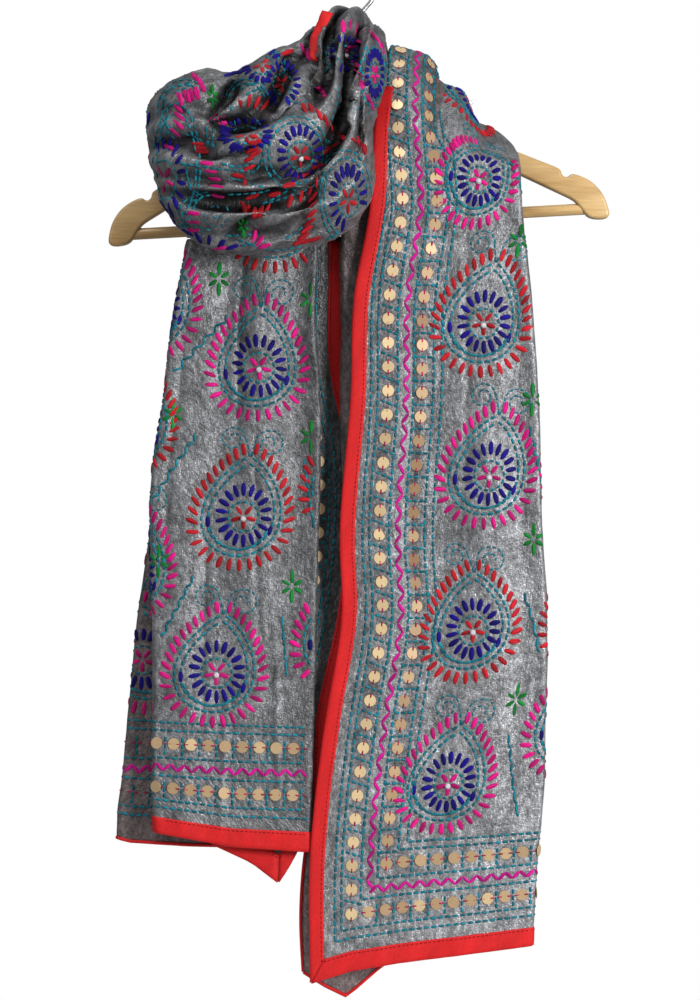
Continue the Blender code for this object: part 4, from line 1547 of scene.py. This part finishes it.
def cowl_tape(cloth, look):
    """The short length of edge tape that shows at the cowl's upper edge."""
    steps = round((COWL_TAPE[-1].station - COWL_TAPE[0].station) / COWL_TAPE_STEP)
    lines = []
    for row in table(COWL_TAPE, COWL_TAPE[0].station + COWL_TAPE_STEP * np.arange(steps + 1)):
        place, column = wound_seat(COWL_START + row.station, row.across)
        point, normal = cloth.read(place, column)
        travel = unit(cloth.read(place + 1, column)[0] - cloth.read(place - 1, column)[0])
        turned_up = unit(normal + COWL_TAPE_TURN * np.array([0.0, -1.0, 0.0]))
        side = unit(np.cross(travel, turned_up))
        lines.append([
            point + normal * COWL_TAPE_LIFT + side * share * row.width + turned_up * lift
            for share, lift in COWL_TAPE_SECTION
        ])
    return tape_piece("cowl_edge_tape_red", np.array(lines), look, False)


# ---- the cowl, as it is seen from the front --------------------------------------------------------

# Places here are in mm on an upright plane through the hanging ends, where sizes seen from the front
# are true: x to the right and z up from where the hook bears.
EYE = (-4.0, -2740.0, -481.0)
FRONT_PLANE = -40.0

# A narrow fold pressed in along a path; a negative depth raises a ridge.
Valley = namedtuple("Valley", "depth width path")

COWL_VALLEYS = (
    Valley(13, 5.5, ((-136, -143), (-108, -143), (-83, -137), (-56, -124), (-39, -107), (-34, -78))),
    Valley(11, 5.5, ((-136, -143), (-124, -127), (-113, -114), (-105, -98))),
    Valley(10, 5, ((-83, -137), (-68, -110), (-53, -72))),
    Valley(11, 5, ((-19, -53), (-23, -85), (-36, -125))),
    Valley(11, 5, ((-2, -56), (-4, -108), (-15, -150), (-42, -186), (-76, -204))),
    Valley(11, 6, ((-152, -162), (-114, -173), (-81, -159))),
    Valley(4, 3.5, ((-128, -180), (-92, -182), (-62, -189))),
    Valley(14, 6, ((-159, -209), (-114, -213), (-71, -208), (-26, -173))),
    Valley(10, 5, ((-119, -247), (-83, -224), (-45, -210), (-33, -193))),
    Valley(4, 4, ((-103, -245), (-56, -231), (-42, -222))),
    Valley(5, 4, ((-184, -157), (-157, -158), (-134, -152))),
    Valley(6, 4.5, ((-26, -175), (-38, -207), (-51, -243))),
    Valley(4, 3, ((-9, -117), (-20, -144), (-29, -155))),
    Valley(3.5, 3, ((-134, -99), (-132, -114), (-134, -128))),
    Valley(3.5, 3, ((-143, -189), (-98, -204), (-83, -202))),
    Valley(4, 3, ((5, -121), (7, -144), (3, -166))),
    Valley(-4, 4, ((1, -98), (1, -117), (-7, -150))),
    Valley(-4, 3, ((-154, -121), (-148, -132), (-136, -144))),
)
VALLEY_TAPER = 14.0
CURVE_POINTS = 60
# How far before its first station the cowl counts as begun, and from what slope it faces the front.
COWL_LEAD = 0.5
FACES_FRONT = -0.12
# The folds are shallower round the cowl's left turn: where that starts, and over how far it grows.
LEFT_RIM = -182.0
RIM_REACH = 50.0

# Flowers of the cowl: how wide and how high each shows against a whole one, and the stones it keeps.
Bloom = namedtuple("Bloom", "x z across upright heart stones")

COWL_BLOOMS = (
    Bloom(-49, -171, 0.85, 0.95, "red", 1), Bloom(-6, -211, 0.70, 1.10, "red", 0),
    Bloom(-83, -90, 0.75, 0.60, "red", 0), Bloom(-65, -107, 0.70, 0.75, "red", 0),
    Bloom(-9, -80, 0.55, 0.60, "pink", 1), Bloom(-171, -193, 0.80, 1.35, "pink", 0),
    Bloom(18, -98, 0.35, 0.80, "pink", 0), Bloom(-97, -153, 1.00, 0.55, "red", 0),
)

# Double lines of running stitches, from one angle to another round an oval.
Oval = namedtuple("Oval", "x z across upright start end")

COWL_OVALS = (
    Oval(-53, -169, 29, 33, -20, 300), Oval(-8, -208, 23, 42, 0, 360),
    Oval(-160, -180, 21, 56, 0, 360), Oval(17, -98, 12, 29, 0, 360),
    Oval(-97, -125, 20, 23, 20, 170), Oval(-152, -130, 25, 27, 60, 250),
    Oval(-78, -94, 16, 18, 10, 120), Oval(-118, -222, 40, 20, 110, 250),
)
OVAL_INNER = 0.84

# Rows of petals along a bowed line; way is how each leans, 0 for level and 90 for upright.
PetalRow = namedtuple("PetalRow", "thread count x0 z0 x1 z1 bow way0 way1")

COWL_PETALS = (
    PetalRow("pink", 5, -151, -99, -137, -109, 3, 150, 115),
    PetalRow("pink", 4, -157, -119, -141, -115, 0, 115, 105),
    PetalRow("pink", 4, -158, -129, -161, -150, 2, -45, -38),
    PetalRow("pink", 3, -156, -121, -142, -115, 0, 100, 105),
    PetalRow("pink", 1, -166, -164, -165, -164, 0, -30, -30),
    PetalRow("blue", 3, -117, -148, -117, -157, 0, -30, -5),
    PetalRow("blue", 1, -108, -164, -107, -164, 0, 45, 45),
    PetalRow("red", 2, -103, -151, -95, -155, 0, -5, -50),
    PetalRow("red", 3, -91, -149, -89, -169, 0, -22, 30),
    PetalRow("pink", 3, -128, -137, -117, -141, 2, 40, 5),
    PetalRow("pink", 5, -133, -178, -123, -207, 2, 175, 170),
    PetalRow("pink", 3, -145, -223, -145, -238, 0, 175, 175),
    PetalRow("pink", 3, -34, -107, -26, -117, 0, 135, 135),
    PetalRow("pink", 8, -1, -74, 25, -75, 13, 170, 100),
    PetalRow("pink", 6, 2, -89, 15, -125, -2, 150, 110),
    PetalRow("pink", 3, -10, -55, 1, -57, 2, 90, 75),
    PetalRow("pink", 3, -134, -251, -121, -254, 0, 10, 10),
    PetalRow("pink", 3, -90, -244, -81, -252, 0, 80, 20),
    PetalRow("pink", 3, -52, -71, -42, -80, 0, 110, 110),
    PetalRow("red", 4, -103, -122, -81, -126, 2, 92, 55),
    PetalRow("red", 2, -72, -75, -61, -78, 0, 20, 20),
    PetalRow("red", 5, -46, -127, -21, -146, 3, 112, 108),
    PetalRow("red", 4, -88, -159, -95, -182, -2, 25, 25),
    PetalRow("red", 3, -105, -189, -92, -208, 0, 170, 20),
    PetalRow("red", 3, -141, -160, -137, -168, 0, 175, 175),
    PetalRow("red", 5, -100, -218, -79, -220, -4, 110, 60),
    PetalRow("red", 4, -72, -206, -33, -181, 0, 12, 20),
    PetalRow("red", 4, -58, -212, -33, -195, -2, 70, 85),
    PetalRow("red", 6, -37, -209, -46, -244, 2, 50, 30),
    PetalRow("red", 2, -24, -166, -18, -163, 0, 35, 35),
    PetalRow("red", 4, -10, -154, 9, -165, 3, 145, 95),
    PetalRow("red", 3, -50, -249, -36, -246, 0, 20, 20),
    PetalRow("blue", 3, -184, -130, -186, -146, 0, 60, 100),
    PetalRow("blue", 4, -112, -98, -99, -95, 0, 20, 20),
    PetalRow("blue", 5, -150, -240, -110, -253, -2, 150, 20),
    PetalRow("blue", 4, -171, -216, -162, -230, 0, 130, 130),
)
PETAL_LENGTH = 12.6
COWL_PETAL_WIDTH = 4.7

# Single lines of running stitches.
COWL_TRAILS = (
    ((-171, -115), (-162, -109), (-146, -105)),
    ((-14, -108), (-17, -126), (-23, -144)),
    ((-78, -214), (-44, -202), (-27, -191)),
    ((-157, -178), (-119, -183), (-94, -185)),
    ((-151, -189), (-145, -202), (-133, -208)),
    ((-114, -206), (-77, -202), (-63, -195)),
    ((-105, -247), (-72, -256), (-46, -252)),
    ((-173, -117), (-172, -130), (-174, -144), (-172, -153)),
    ((-168, -121), (-168, -132), (-169, -144), (-166, -153)),
    ((-162, -115), (-153, -111), (-146, -107)),
    ((-110, -119), (-111, -130), (-109, -139), (-107, -146)),
    ((-103, -112), (-94, -107), (-83, -105), (-72, -110)),
    ((-98, -117), (-90, -112), (-80, -112)),
    ((-74, -78), (-66, -81), (-62, -89), (-64, -98)),
    ((-153, -151), (-143, -154), (-134, -160), (-125, -163)),
    ((-134, -144), (-133, -153), (-131, -162)), ((-127, -146), (-128, -157), (-126, -166)),
    ((-157, -215), (-154, -224), (-152, -236), (-146, -243)),
    ((-112, -191), (-98, -195), (-89, -198), (-78, -200)),
    ((-94, -188), (-87, -182), (-83, -173)), ((-98, -186), (-92, -178), (-89, -170)),
    ((-83, -215), (-71, -209), (-60, -202), (-52, -195)),
    ((-116, -243), (-103, -243), (-92, -242)), ((-103, -252), (-89, -250), (-81, -245)),
    ((-35, -256), (-26, -247), (-13, -240)), ((-25, -166), (-29, -175), (-33, -186)),
    ((-152, -177), (-150, -190), (-147, -203)), ((-120, -178), (-106, -181), (-94, -179)),
    ((-62, -246), (-50, -238), (-40, -226)), ((-36, -150), (-28, -156), (-20, -160)),
    ((-24, -70), (-27, -88), (-34, -104)), ((-18, -66), (-20, -84), (-27, -101)),
    ((-62, -120), (-52, -124), (-42, -121)), ((-88, -140), (-80, -148), (-78, -158)),
)
# Curls: centre, radius, and the angle in radians and the turns with which each winds in.
Coil = namedtuple("Coil", "x z radius start turns")

COWL_COILS = (Coil(-125, -224, 12, 0.6, -1.5), Coil(6, -130, 8.5, 2.6, -1.4))
COWL_STARS = ((-128, -118), (-100, -234))
STAR_SQUEEZE = (0.5, 0.75)
TRAIL_POINTS = 40

# Paisleys on the rest of the wound stretch: the station, and the share across the strip.
WoundMotif = namedtuple("WoundMotif", "station across colour turn size")

WOUND_MOTIFS = (
    WoundMotif(5.9, 0.50, "red", 0.0, 0.72), WoundMotif(7.2, 0.42, "pink", 0.2, 0.85),
    WoundMotif(8.5, 0.55, "red", -0.1, 0.85), WoundMotif(9.7, 0.45, "pink", 0.1, 0.72),
    WoundMotif(11.3, 0.50, "red", 0.0, 0.70), WoundMotif(13.0, 0.06, "pink", 0.3, 0.60),
    WoundMotif(24.4, 0.50, "pink", 0.3, 0.60), WoundMotif(27.6, 0.45, "red", 0.1, 0.72),
    WoundMotif(29.0, 0.50, "pink", 0.0, 0.80),
)


def from_front(points):
    """Where points show on the front plane, as x and z."""
    reach = (points[..., 1] - EYE[1]) / (FRONT_PLANE - EYE[1])
    return EYE[0] + (points[..., 0] - EYE[0]) / reach, EYE[2] + (points[..., 2] - EYE[2]) / reach


def curve_through(path, count):
    """Even steps along one smooth curve through a few places."""
    path = np.array(path, float)
    along = path_lengths(path)
    return smooth_rows(along, path, np.linspace(0, along[-1], count)), along[-1]


def press_valleys(cloth, first, last):
    """Presses the cowl's narrow folds into the part of the cloth that faces the front."""
    points = cloth.points[first:last]
    normals = cloth.normals[first:last]
    x, z = from_front(points)
    facing = np.clip(-3 * normals[:, :, 1], 0, 1)
    push = np.zeros(x.shape)
    for valley in COWL_VALLEYS:
        curve, length = curve_through(valley.path, CURVE_POINTS)
        gaps = np.hypot(x[..., None] - curve[:, 0], z[..., None] - curve[:, 1])
        nearest = gaps.argmin(axis=-1)
        ends = np.minimum(nearest, CURVE_POINTS - 1 - nearest) / (CURVE_POINTS - 1) * length
        depth = valley.depth * np.clip(ends / VALLEY_TAPER, 0.15, 1)
        press = depth * np.exp(-((gaps.min(axis=-1) / valley.width) ** 1.5))
        push = np.where(np.abs(press) > np.abs(push), press, push)
    eased = np.clip((x - LEFT_RIM) / RIM_REACH, 0.1, 1) * facing
    points -= normals * (push * eased)[..., None]
    # The push is kept as well, to paint shade into the pressed valleys.
    cloth.pressed[first:last] = push * facing
    cloth.settle()


def seen_places(cloth):
    """Finds the place on a cloth that shows from the front at x and z."""
    rows, columns = cloth.u.shape
    faces = [
        (r * columns + c, r * columns + c + 1, (r + 1) * columns + c + 1, (r + 1) * columns + c)
        for r in range(rows - 1) for c in range(columns - 1)
    ]
    tree = BVHTree.FromPolygons([Vector(point) for point in cloth.points.reshape(-1, 3)], faces)
    eye = Vector(EYE)

    def place(x, z):
        hit, _, face, _ = tree.ray_cast(eye, Vector((x, FRONT_PLANE, z)) - eye)
        if hit is None:
            return None
        r, c = divmod(face, columns - 1)
        corner = cloth.points[r, c]
        sides = np.stack([cloth.points[r, c + 1] - corner, cloth.points[r + 1, c] - corner], axis=1)
        along, down = np.clip(np.linalg.pinv(sides) @ (np.array(hit) - corner), 0, 1)
        return r + float(down), c + float(along)

    return place


def petal_row(row):
    """Petals spread evenly along a bowed line, each leaning its own way."""
    chord = np.array([row.x1 - row.x0, row.z1 - row.z0], float)
    side = np.array([-chord[1], chord[0]]) / np.hypot(*chord)
    sewn = []
    for share in np.linspace(0, 1, row.count):
        x, z = np.array([row.x0, row.z0]) + chord * share + side * row.bow * math.sin(math.pi * share)
        way = math.radians(row.way0 + (row.way1 - row.way0) * share)
        reach_x, reach_z = PETAL_LENGTH / 2 * math.cos(way), PETAL_LENGTH / 2 * math.sin(way)
        ends = (x - reach_x, z - reach_z, x + reach_x, z + reach_z)
        sewn.append(Stitch(row.thread, *ends, COWL_PETAL_WIDTH))
    return sewn


def oval_lines(oval):
    turns = np.radians(np.linspace(oval.start, oval.end, 60))
    sewn = []
    for share in (1.0, OVAL_INNER):
        x = oval.x + oval.across * share * np.cos(turns)
        z = oval.z + oval.upright * share * np.sin(turns)
        sewn += run_stitches(np.stack([x, z], axis=1), "teal")
    return sewn


def cowl_marks():
    """The cowl's needlework, set where it shows from the front: one list of marks for each part."""
    for bloom in COWL_BLOOMS:
        marks = [mark for mark in rosette(0, 0, bloom.heart) if bloom.stones or isinstance(mark, Stitch)]
        yield moved(marks, bloom.x, bloom.z, 0.0, 1, bloom.across, bloom.upright)
    for oval in COWL_OVALS:
        yield oval_lines(oval)
    for row in COWL_PETALS:
        yield petal_row(row)
    for trail in COWL_TRAILS:
        yield run_stitches(curve_through(trail, TRAIL_POINTS)[0], "teal")
    for coil in COWL_COILS:
        yield curl(*coil)
    for x, z in COWL_STARS:
        yield moved(star(), x, z, 0.0, 1, *STAR_SQUEEZE)


def wound_seat(station, across):
    """The row and the column of the wound cloth at a station and a share across the strip."""
    angle = math.acos(1 - 2 * across)
    column = (angle + ROLL_ANGLE) / (math.pi + 2 * ROLL_ANGLE) * WOUND_COLUMNS
    return (station - SHOULDER_END) * WOUND_STEPS, column


def out_of_front(cloth, place):
    """The same places, except those of the cowl that face the front."""
    def kept(x, y):
        seat = place(x, y)
        if seat is None:
            return None
        start, end = COWL_START - SHOULDER_END - COWL_LEAD, COWL_END - SHOULDER_END
        cowl = start * WOUND_STEPS < seat[0] < end * WOUND_STEPS
        return None if cowl and cloth.read(*seat)[1][1] < FACES_FRONT else seat

    return kept


def sew_wound(work, cloth):
    """The cowl's needlework, and paisleys round the rest of the wound stretch."""
    seen = seen_places(cloth)
    for marks in cowl_marks():
        work.sew(marks, seen, stretch=SEEN_STRETCH)
    for motif in WOUND_MOTIFS:
        row, column = wound_seat(motif.station, motif.across)
        place = out_of_front(cloth, walk_from(cloth, row, column, motif.turn))
        work.sew(paisley(motif.colour, motif.colour, size=motif.size), place)


RIGHT_MOTIFS = (
    Motif(116, 165, "pink", 0.0, 1.0), Motif(118, 306, "red", 0.05, 1.0),
    Motif(132, 450, "pink", 0.0, 1.0), Motif(121, 586, "red", 0.0, 1.0),
    Motif(105, 717, "pink", -0.25, 0.8), Motif(226, 213, "pink", 0.0, 1.0),
    Motif(226, 315, "red", 0.0, 1.0), Motif(226, 455, "pink", 0.0, 1.0),
    Motif(226, 590, "red", 0.0, 1.0), Motif(122, 850, "red", 0.0, 0.8),
)
RIGHT_STARS = ((171, 242), (179, 393), (170, 519), (147, 660))

# Lines that climb in steps, from one place on the cloth to another.
Stairs = namedtuple("Stairs", "u0 v0 u1 v1")

RIGHT_STAIRS = (
    Stairs(169, 210, 187, 130), Stairs(168, 342, 186, 285), Stairs(170, 495, 188, 440),
    Stairs(168, 634, 186, 583), Stairs(136, 745, 154, 690),
)
LEFT_MOTIFS = (
    Motif(99, 157, "pink", 0.0, 1.06), Motif(79, 301, "red", 0.0, 1.06),
    Motif(65, 437, "pink", 0.0, 1.06), Motif(46, 570, "red", 0.0, 1.06),
    Motif(-16, 190, "pink", 0.0, 1.0), Motif(-20, 330, "red", 0.0, 1.0),
    Motif(182, 250, "pink", 0.0, 1.0), Motif(184, 385, "red", 0.0, 1.0),
    Motif(160, 495, "pink", 0.0, 1.0),
)
LEFT_STARS = ((98, 518), (11, 497), (143, 397), (15, 373), (152, 261), (29, 238))
LEFT_STAIRS = (
    Stairs(91, 486, 143, 437), Stairs(122, 378, 168, 305), Stairs(121, 248, 148, 190),
    Stairs(21, 353, 4, 260), Stairs(37, 211, 31, 157),
)

# What shows of the one strip of silk, as cut: its width and its length in metres. The ends show
# its whole width, as planned in folds. The wound stretch shows only the outermost turn of it, whose
# width is the area of that stretch, as made here, over its length. The lengths follow the middle of
# the cloth through the stations and add up to the whole strip's.
STRIP_WIDTH = 0.75
RIGHT_CUT = (STRIP_WIDTH, 0.88)
WOUND_CUT = (0.20, 0.89)
LEFT_CUT = (STRIP_WIDTH, 0.55)

# Painted light and shade in the silk's colour, by its layer and place across a hanging end, its station
# and its height.
Tone = namedtuple("Tone", "place tone")

# Painted shade: darker along the valley by the second sequin row and on the layers behind the face.
RIGHT_PAINTED_SHADE = (
    Tone(0, 0.92), Tone(0.30, 0.92), Tone(0.365, 0.58), Tone(0.43, 0.93), Tone(0.6, 1.06),
    Tone(1.0, 0.98), Tone(1.1, 0.7), Tone(4.0, 0.8),
)
# Painted shade: darkest on the strip, on the face darker towards its fold by the strip, and darker on
# the layers behind.
LEFT_PAINTED_SHADE = (
    Tone(0, 0.40), Tone(1.9, 0.40), Tone(2.0, 0.42), Tone(2.12, 0.58), Tone(2.35, 0.76),
    Tone(2.7, 0.85), Tone(3.0, 0.78), Tone(3.1, 0.7), Tone(6.0, 0.8),
)
# Painted shade: the wound stretch and its cowl darker than the ends.
WOUND_PAINTED_SHADE = (Tone(5, 0.66), Tone(12, 0.60), Tone(22, 0.60), Tone(27, 0.7), Tone(30, 0.9))
# Painted light: the ends lighter low down and darker higher up.
RIGHT_HEIGHT_PAINTED_LIGHT = (Tone(0, 1.24), Tone(180, 1.05), Tone(400, 0.88), Tone(700, 0.76), Tone(900, 0.86))
LEFT_HEIGHT_PAINTED_LIGHT = (Tone(0, 0.94), Tone(180, 0.96), Tone(400, 0.90), Tone(600, 0.84))

# How far the sewing along the right end's edge lies nearer to the edge, higher up.
RIGHT_DRIFT = ((0, 0), (300, -2), (600, -7), (690, -10), (760, -17), (850, -29))

# How high above the hem the tapes and their seams reach, and the column that heights are read along.
RIGHT_TAPE_TOP = 800.0
RIGHT_REAR_TAPE_TOP = 734.0
RIGHT_SEAM_TOP = 780.0
LEFT_TOP = 552.0
LEFT_SEAM_TOP = 540.0
HEIGHT_COLUMN = 20

TAPE_NODES = {
    "right_cloth": ("right_edge_tape", "right_rear_edge_tape", "right_hem_tape"),
    "left_cloth": ("left_edge_tape", "left_rear_edge_tape", "left_hem_tape"),
    "wound_cloth": ("cowl_edge_tape",),
}
CLOTH_NODES = {
    "right_cloth": ("right_tail", "right_shoulder"),
    "wound_cloth": ("neck_back", "cowl", "hook_wrap", "left_shoulder"),
    "left_cloth": ("left_tail",),
}


def painted_light_at(places, tones):
    """The painted light and shade of the cloth at each place."""
    return np.interp(places, [stop.place for stop in tones], [stop.tone for stop in tones])


def sew_motifs(work, place, motifs, stars, stair_lines, flip, side=1):
    for motif in motifs:
        marks = paisley(motif.colour, motif.colour)
        work.sew(moved(marks, motif.u, motif.v, motif.turn, flip, motif.squeeze), place, side)
    for u, v in stars:
        work.sew(moved(star(), u, v), place, side)
    for line in stair_lines:
        work.sew(stairs(*line), place, side)


def main():
    bpy.context.scene.view_settings.view_transform = "Standard"
    camera()
    daylight(DAYLIGHT, BACKDROP)
    for row in LAMPS:
        lamp(*row)
    floor(floor_finish())
    face = silk("silk_face", (0.245, 0.255, 0.275), (0.270, 0.265, 0.265), 0.40, 0.50)
    reverse = silk("silk_reverse", (0.19, 0.17, 0.17), (0.25, 0.17, 0.17), 0.5, 0.25)
    wood = wood_finish()
    arms, bar, hook = hanger_arms(wood), hanger_bar(wood), hanger_hook(steel_finish())
    red = tape_finish()
    looks = {word: thread_finish(f"{word}_thread", colour) for word, colour in THREADS.items()}
    looks["sequin"] = sequin_finish()
    looks["stone"] = stone_finish()
    forms = {
        "run": stitch_form(4, 4, 3.0), "petal": stitch_form(8, 5, 2.25),
        "sequin": cone_form(18, 0.97, 0.05), "stone": cone_form(8, 0.5, 0.8),
    }

    points, layers, tail_rows = right_points()
    right = Cloth(points, layers)
    right.crumple(height=0.6, across=16.0, along=30.0, seed=1.3)
    middle = right.v[:, HEIGHT_COLUMN]
    right_heights = np.concatenate([
        np.linspace(0, RIGHT_ROWS[-1].v, tail_rows),
        RIGHT_ROWS[-1].v + middle[tail_rows:] - middle[tail_rows - 1],
    ])
    points, wanted = wound_grid()
    wound = Cloth(points)
    wound.crumple(height=1.3, across=9.0, along=26.0, seed=7.7)
    wound.crumple(height=0.5, across=3.5, along=9.0, seed=2.9)
    span = (COWL_START - COWL_LEAD, COWL_END)
    press_valleys(wound, *(round((station - SHOULDER_END) * WOUND_STEPS) for station in span))
    points, layers = left_points()
    left = Cloth(points, layers)
    left.crumple(height=0.6, across=16.0, along=30.0, seed=4.1)
    left_heights = np.linspace(LEFT_ROWS[-1].v, 0, LEFT_LINES)

    right_painted_light = painted_light_at(right.layers, RIGHT_PAINTED_SHADE)[None, :]
    right_painted_light = right_painted_light * painted_light_at(right_heights, RIGHT_HEIGHT_PAINTED_LIGHT)[:, None]
    # The shoulder's rows fade from the right end's painted shade to the wound stretch's.
    painted_shade_fade = np.linspace(1, WOUND_PAINTED_SHADE[0].tone, len(right_heights) - tail_rows)
    right_painted_light[tail_rows:] *= painted_shade_fade[:, None]
    left_painted_light = painted_light_at(left.layers, LEFT_PAINTED_SHADE)[None, :]
    left_painted_light = left_painted_light * painted_light_at(left_heights, LEFT_HEIGHT_PAINTED_LIGHT)[:, None]
    wound_painted_shade = painted_light_at(wanted, WOUND_PAINTED_SHADE)[:, None]
    # Each cloth's painted light and shade, with painted shade in its folds and painted light on its
    # ridges.
    drawn = {
        "right_cloth": (right, (right.u, right.v), right.shades(right_painted_light, reach=5, deepening=0.16)),
        "wound_cloth": (wound, wound.flat_places(), wound.shades(wound_painted_shade, reach=9, deepening=0.24)),
        "left_cloth": (left, (left.u, left.v), left.shades(left_painted_light, reach=5, deepening=0.16)),
    }
    cloths = {
        name: grid_mesh(name, cloth.points, *flat, (face, reverse), CLOTH_WALL, shades)
        for name, (cloth, flat, shades) in drawn.items()
    }

    tapes = {
        "right_cloth": [
            edge_tape("right_side_tape", right, right_heights, RIGHT_TAPE_TOP, red),
            edge_tape("right_rear_side_tape", right, right_heights, RIGHT_REAR_TAPE_TOP, red, True),
            hem_tape("right_foot_tape", right, right_heights, red),
        ],
        "left_cloth": [
            edge_tape("left_side_tape", left, left_heights, LEFT_TOP, red),
            edge_tape("left_rear_side_tape", left, left_heights, LEFT_TOP, red, True),
            hem_tape("left_foot_tape", left, left_heights, red),
        ],
        "wound_cloth": [cowl_tape(wound, red)],
    }

    right_work = Needlework("right", right, 5)
    near = chart(right, right_heights, ((0.0, 1.05),), "near", RIGHT_DRIFT)
    far = chart(right, right_heights, ((2.95, 4.0),), "far")
    for place in (near, far):
        right_work.sew(border(width=230.0, top=900.0), place)
        sew_motifs(right_work, place, RIGHT_MOTIFS, RIGHT_STARS, RIGHT_STAIRS, 1)
    seam = tape_seam(start=SIDE_TAPE, end=215.0, top=RIGHT_SEAM_TOP)
    right_work.sew(seam, chart(right, right_heights, ((0.0, 1.0),)))
    left_work = Needlework("left", left, 8)
    strip = chart(left, left_heights, ((0.0, 0.6),))
    front = chart(left, left_heights, ((2.02, 3.06),), 2.0)
    back = chart(left, left_heights, ((3.94, 6.0),), "far")
    left_work.sew(border(width=60.0, top=LEFT_TOP), strip)
    left_work.sew(moved(border(width=420.0, top=LEFT_TOP, sides=False), -200.0, 0.0), front)
    sew_motifs(left_work, front, LEFT_MOTIFS, LEFT_STARS, LEFT_STAIRS, -1)
    left_work.sew(border(width=330.0, top=LEFT_TOP), back, -1)
    left_work.sew(tape_seam(start=SIDE_TAPE, end=50.0, top=LEFT_SEAM_TOP), strip)
    left_work.sew(tape_seam(start=0.0, end=140.0, top=0.0), front)
    sew_motifs(left_work, back, RIGHT_MOTIFS, RIGHT_STARS, RIGHT_STAIRS, 1, -1)
    wound_work = Needlework("wound", wound, 11)
    sew_wound(wound_work, wound)

    sewn = {
        "right_cloth": right_work.make(looks, forms),
        "left_cloth": left_work.make(looks, forms),
        "wound_cloth": wound_work.make(looks, forms),
    }
    for piece in (arms, bar, hook, *cloths.values()):
        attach(piece, "root")
    for name in cloths:
        for piece in (*tapes[name], *sewn[name]):
            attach(piece, "root")
        for piece in tapes[name]:
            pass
    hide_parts("hanger_arms")
    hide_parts("hanger_bar")
    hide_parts("hanger_hook")
    for name, nodes in CLOTH_NODES.items():
        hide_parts(*nodes)
    for name, nodes in TAPE_NODES.items():
        for piece, node in zip(tapes[name], nodes):
            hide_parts(node)
    held = {
        "right_cloth": (RIGHT_CUT, "hung", [arms, cloths["wound_cloth"]]),
        "wound_cloth": (WOUND_CUT, "gathered", [arms, hook]),
        "left_cloth": (LEFT_CUT, "hung", [arms, cloths["wound_cloth"]]),
    }
    for name, (cut, way, rests_on) in held.items():
        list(tapes[name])
        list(sewn[name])
        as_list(rests_on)


main()
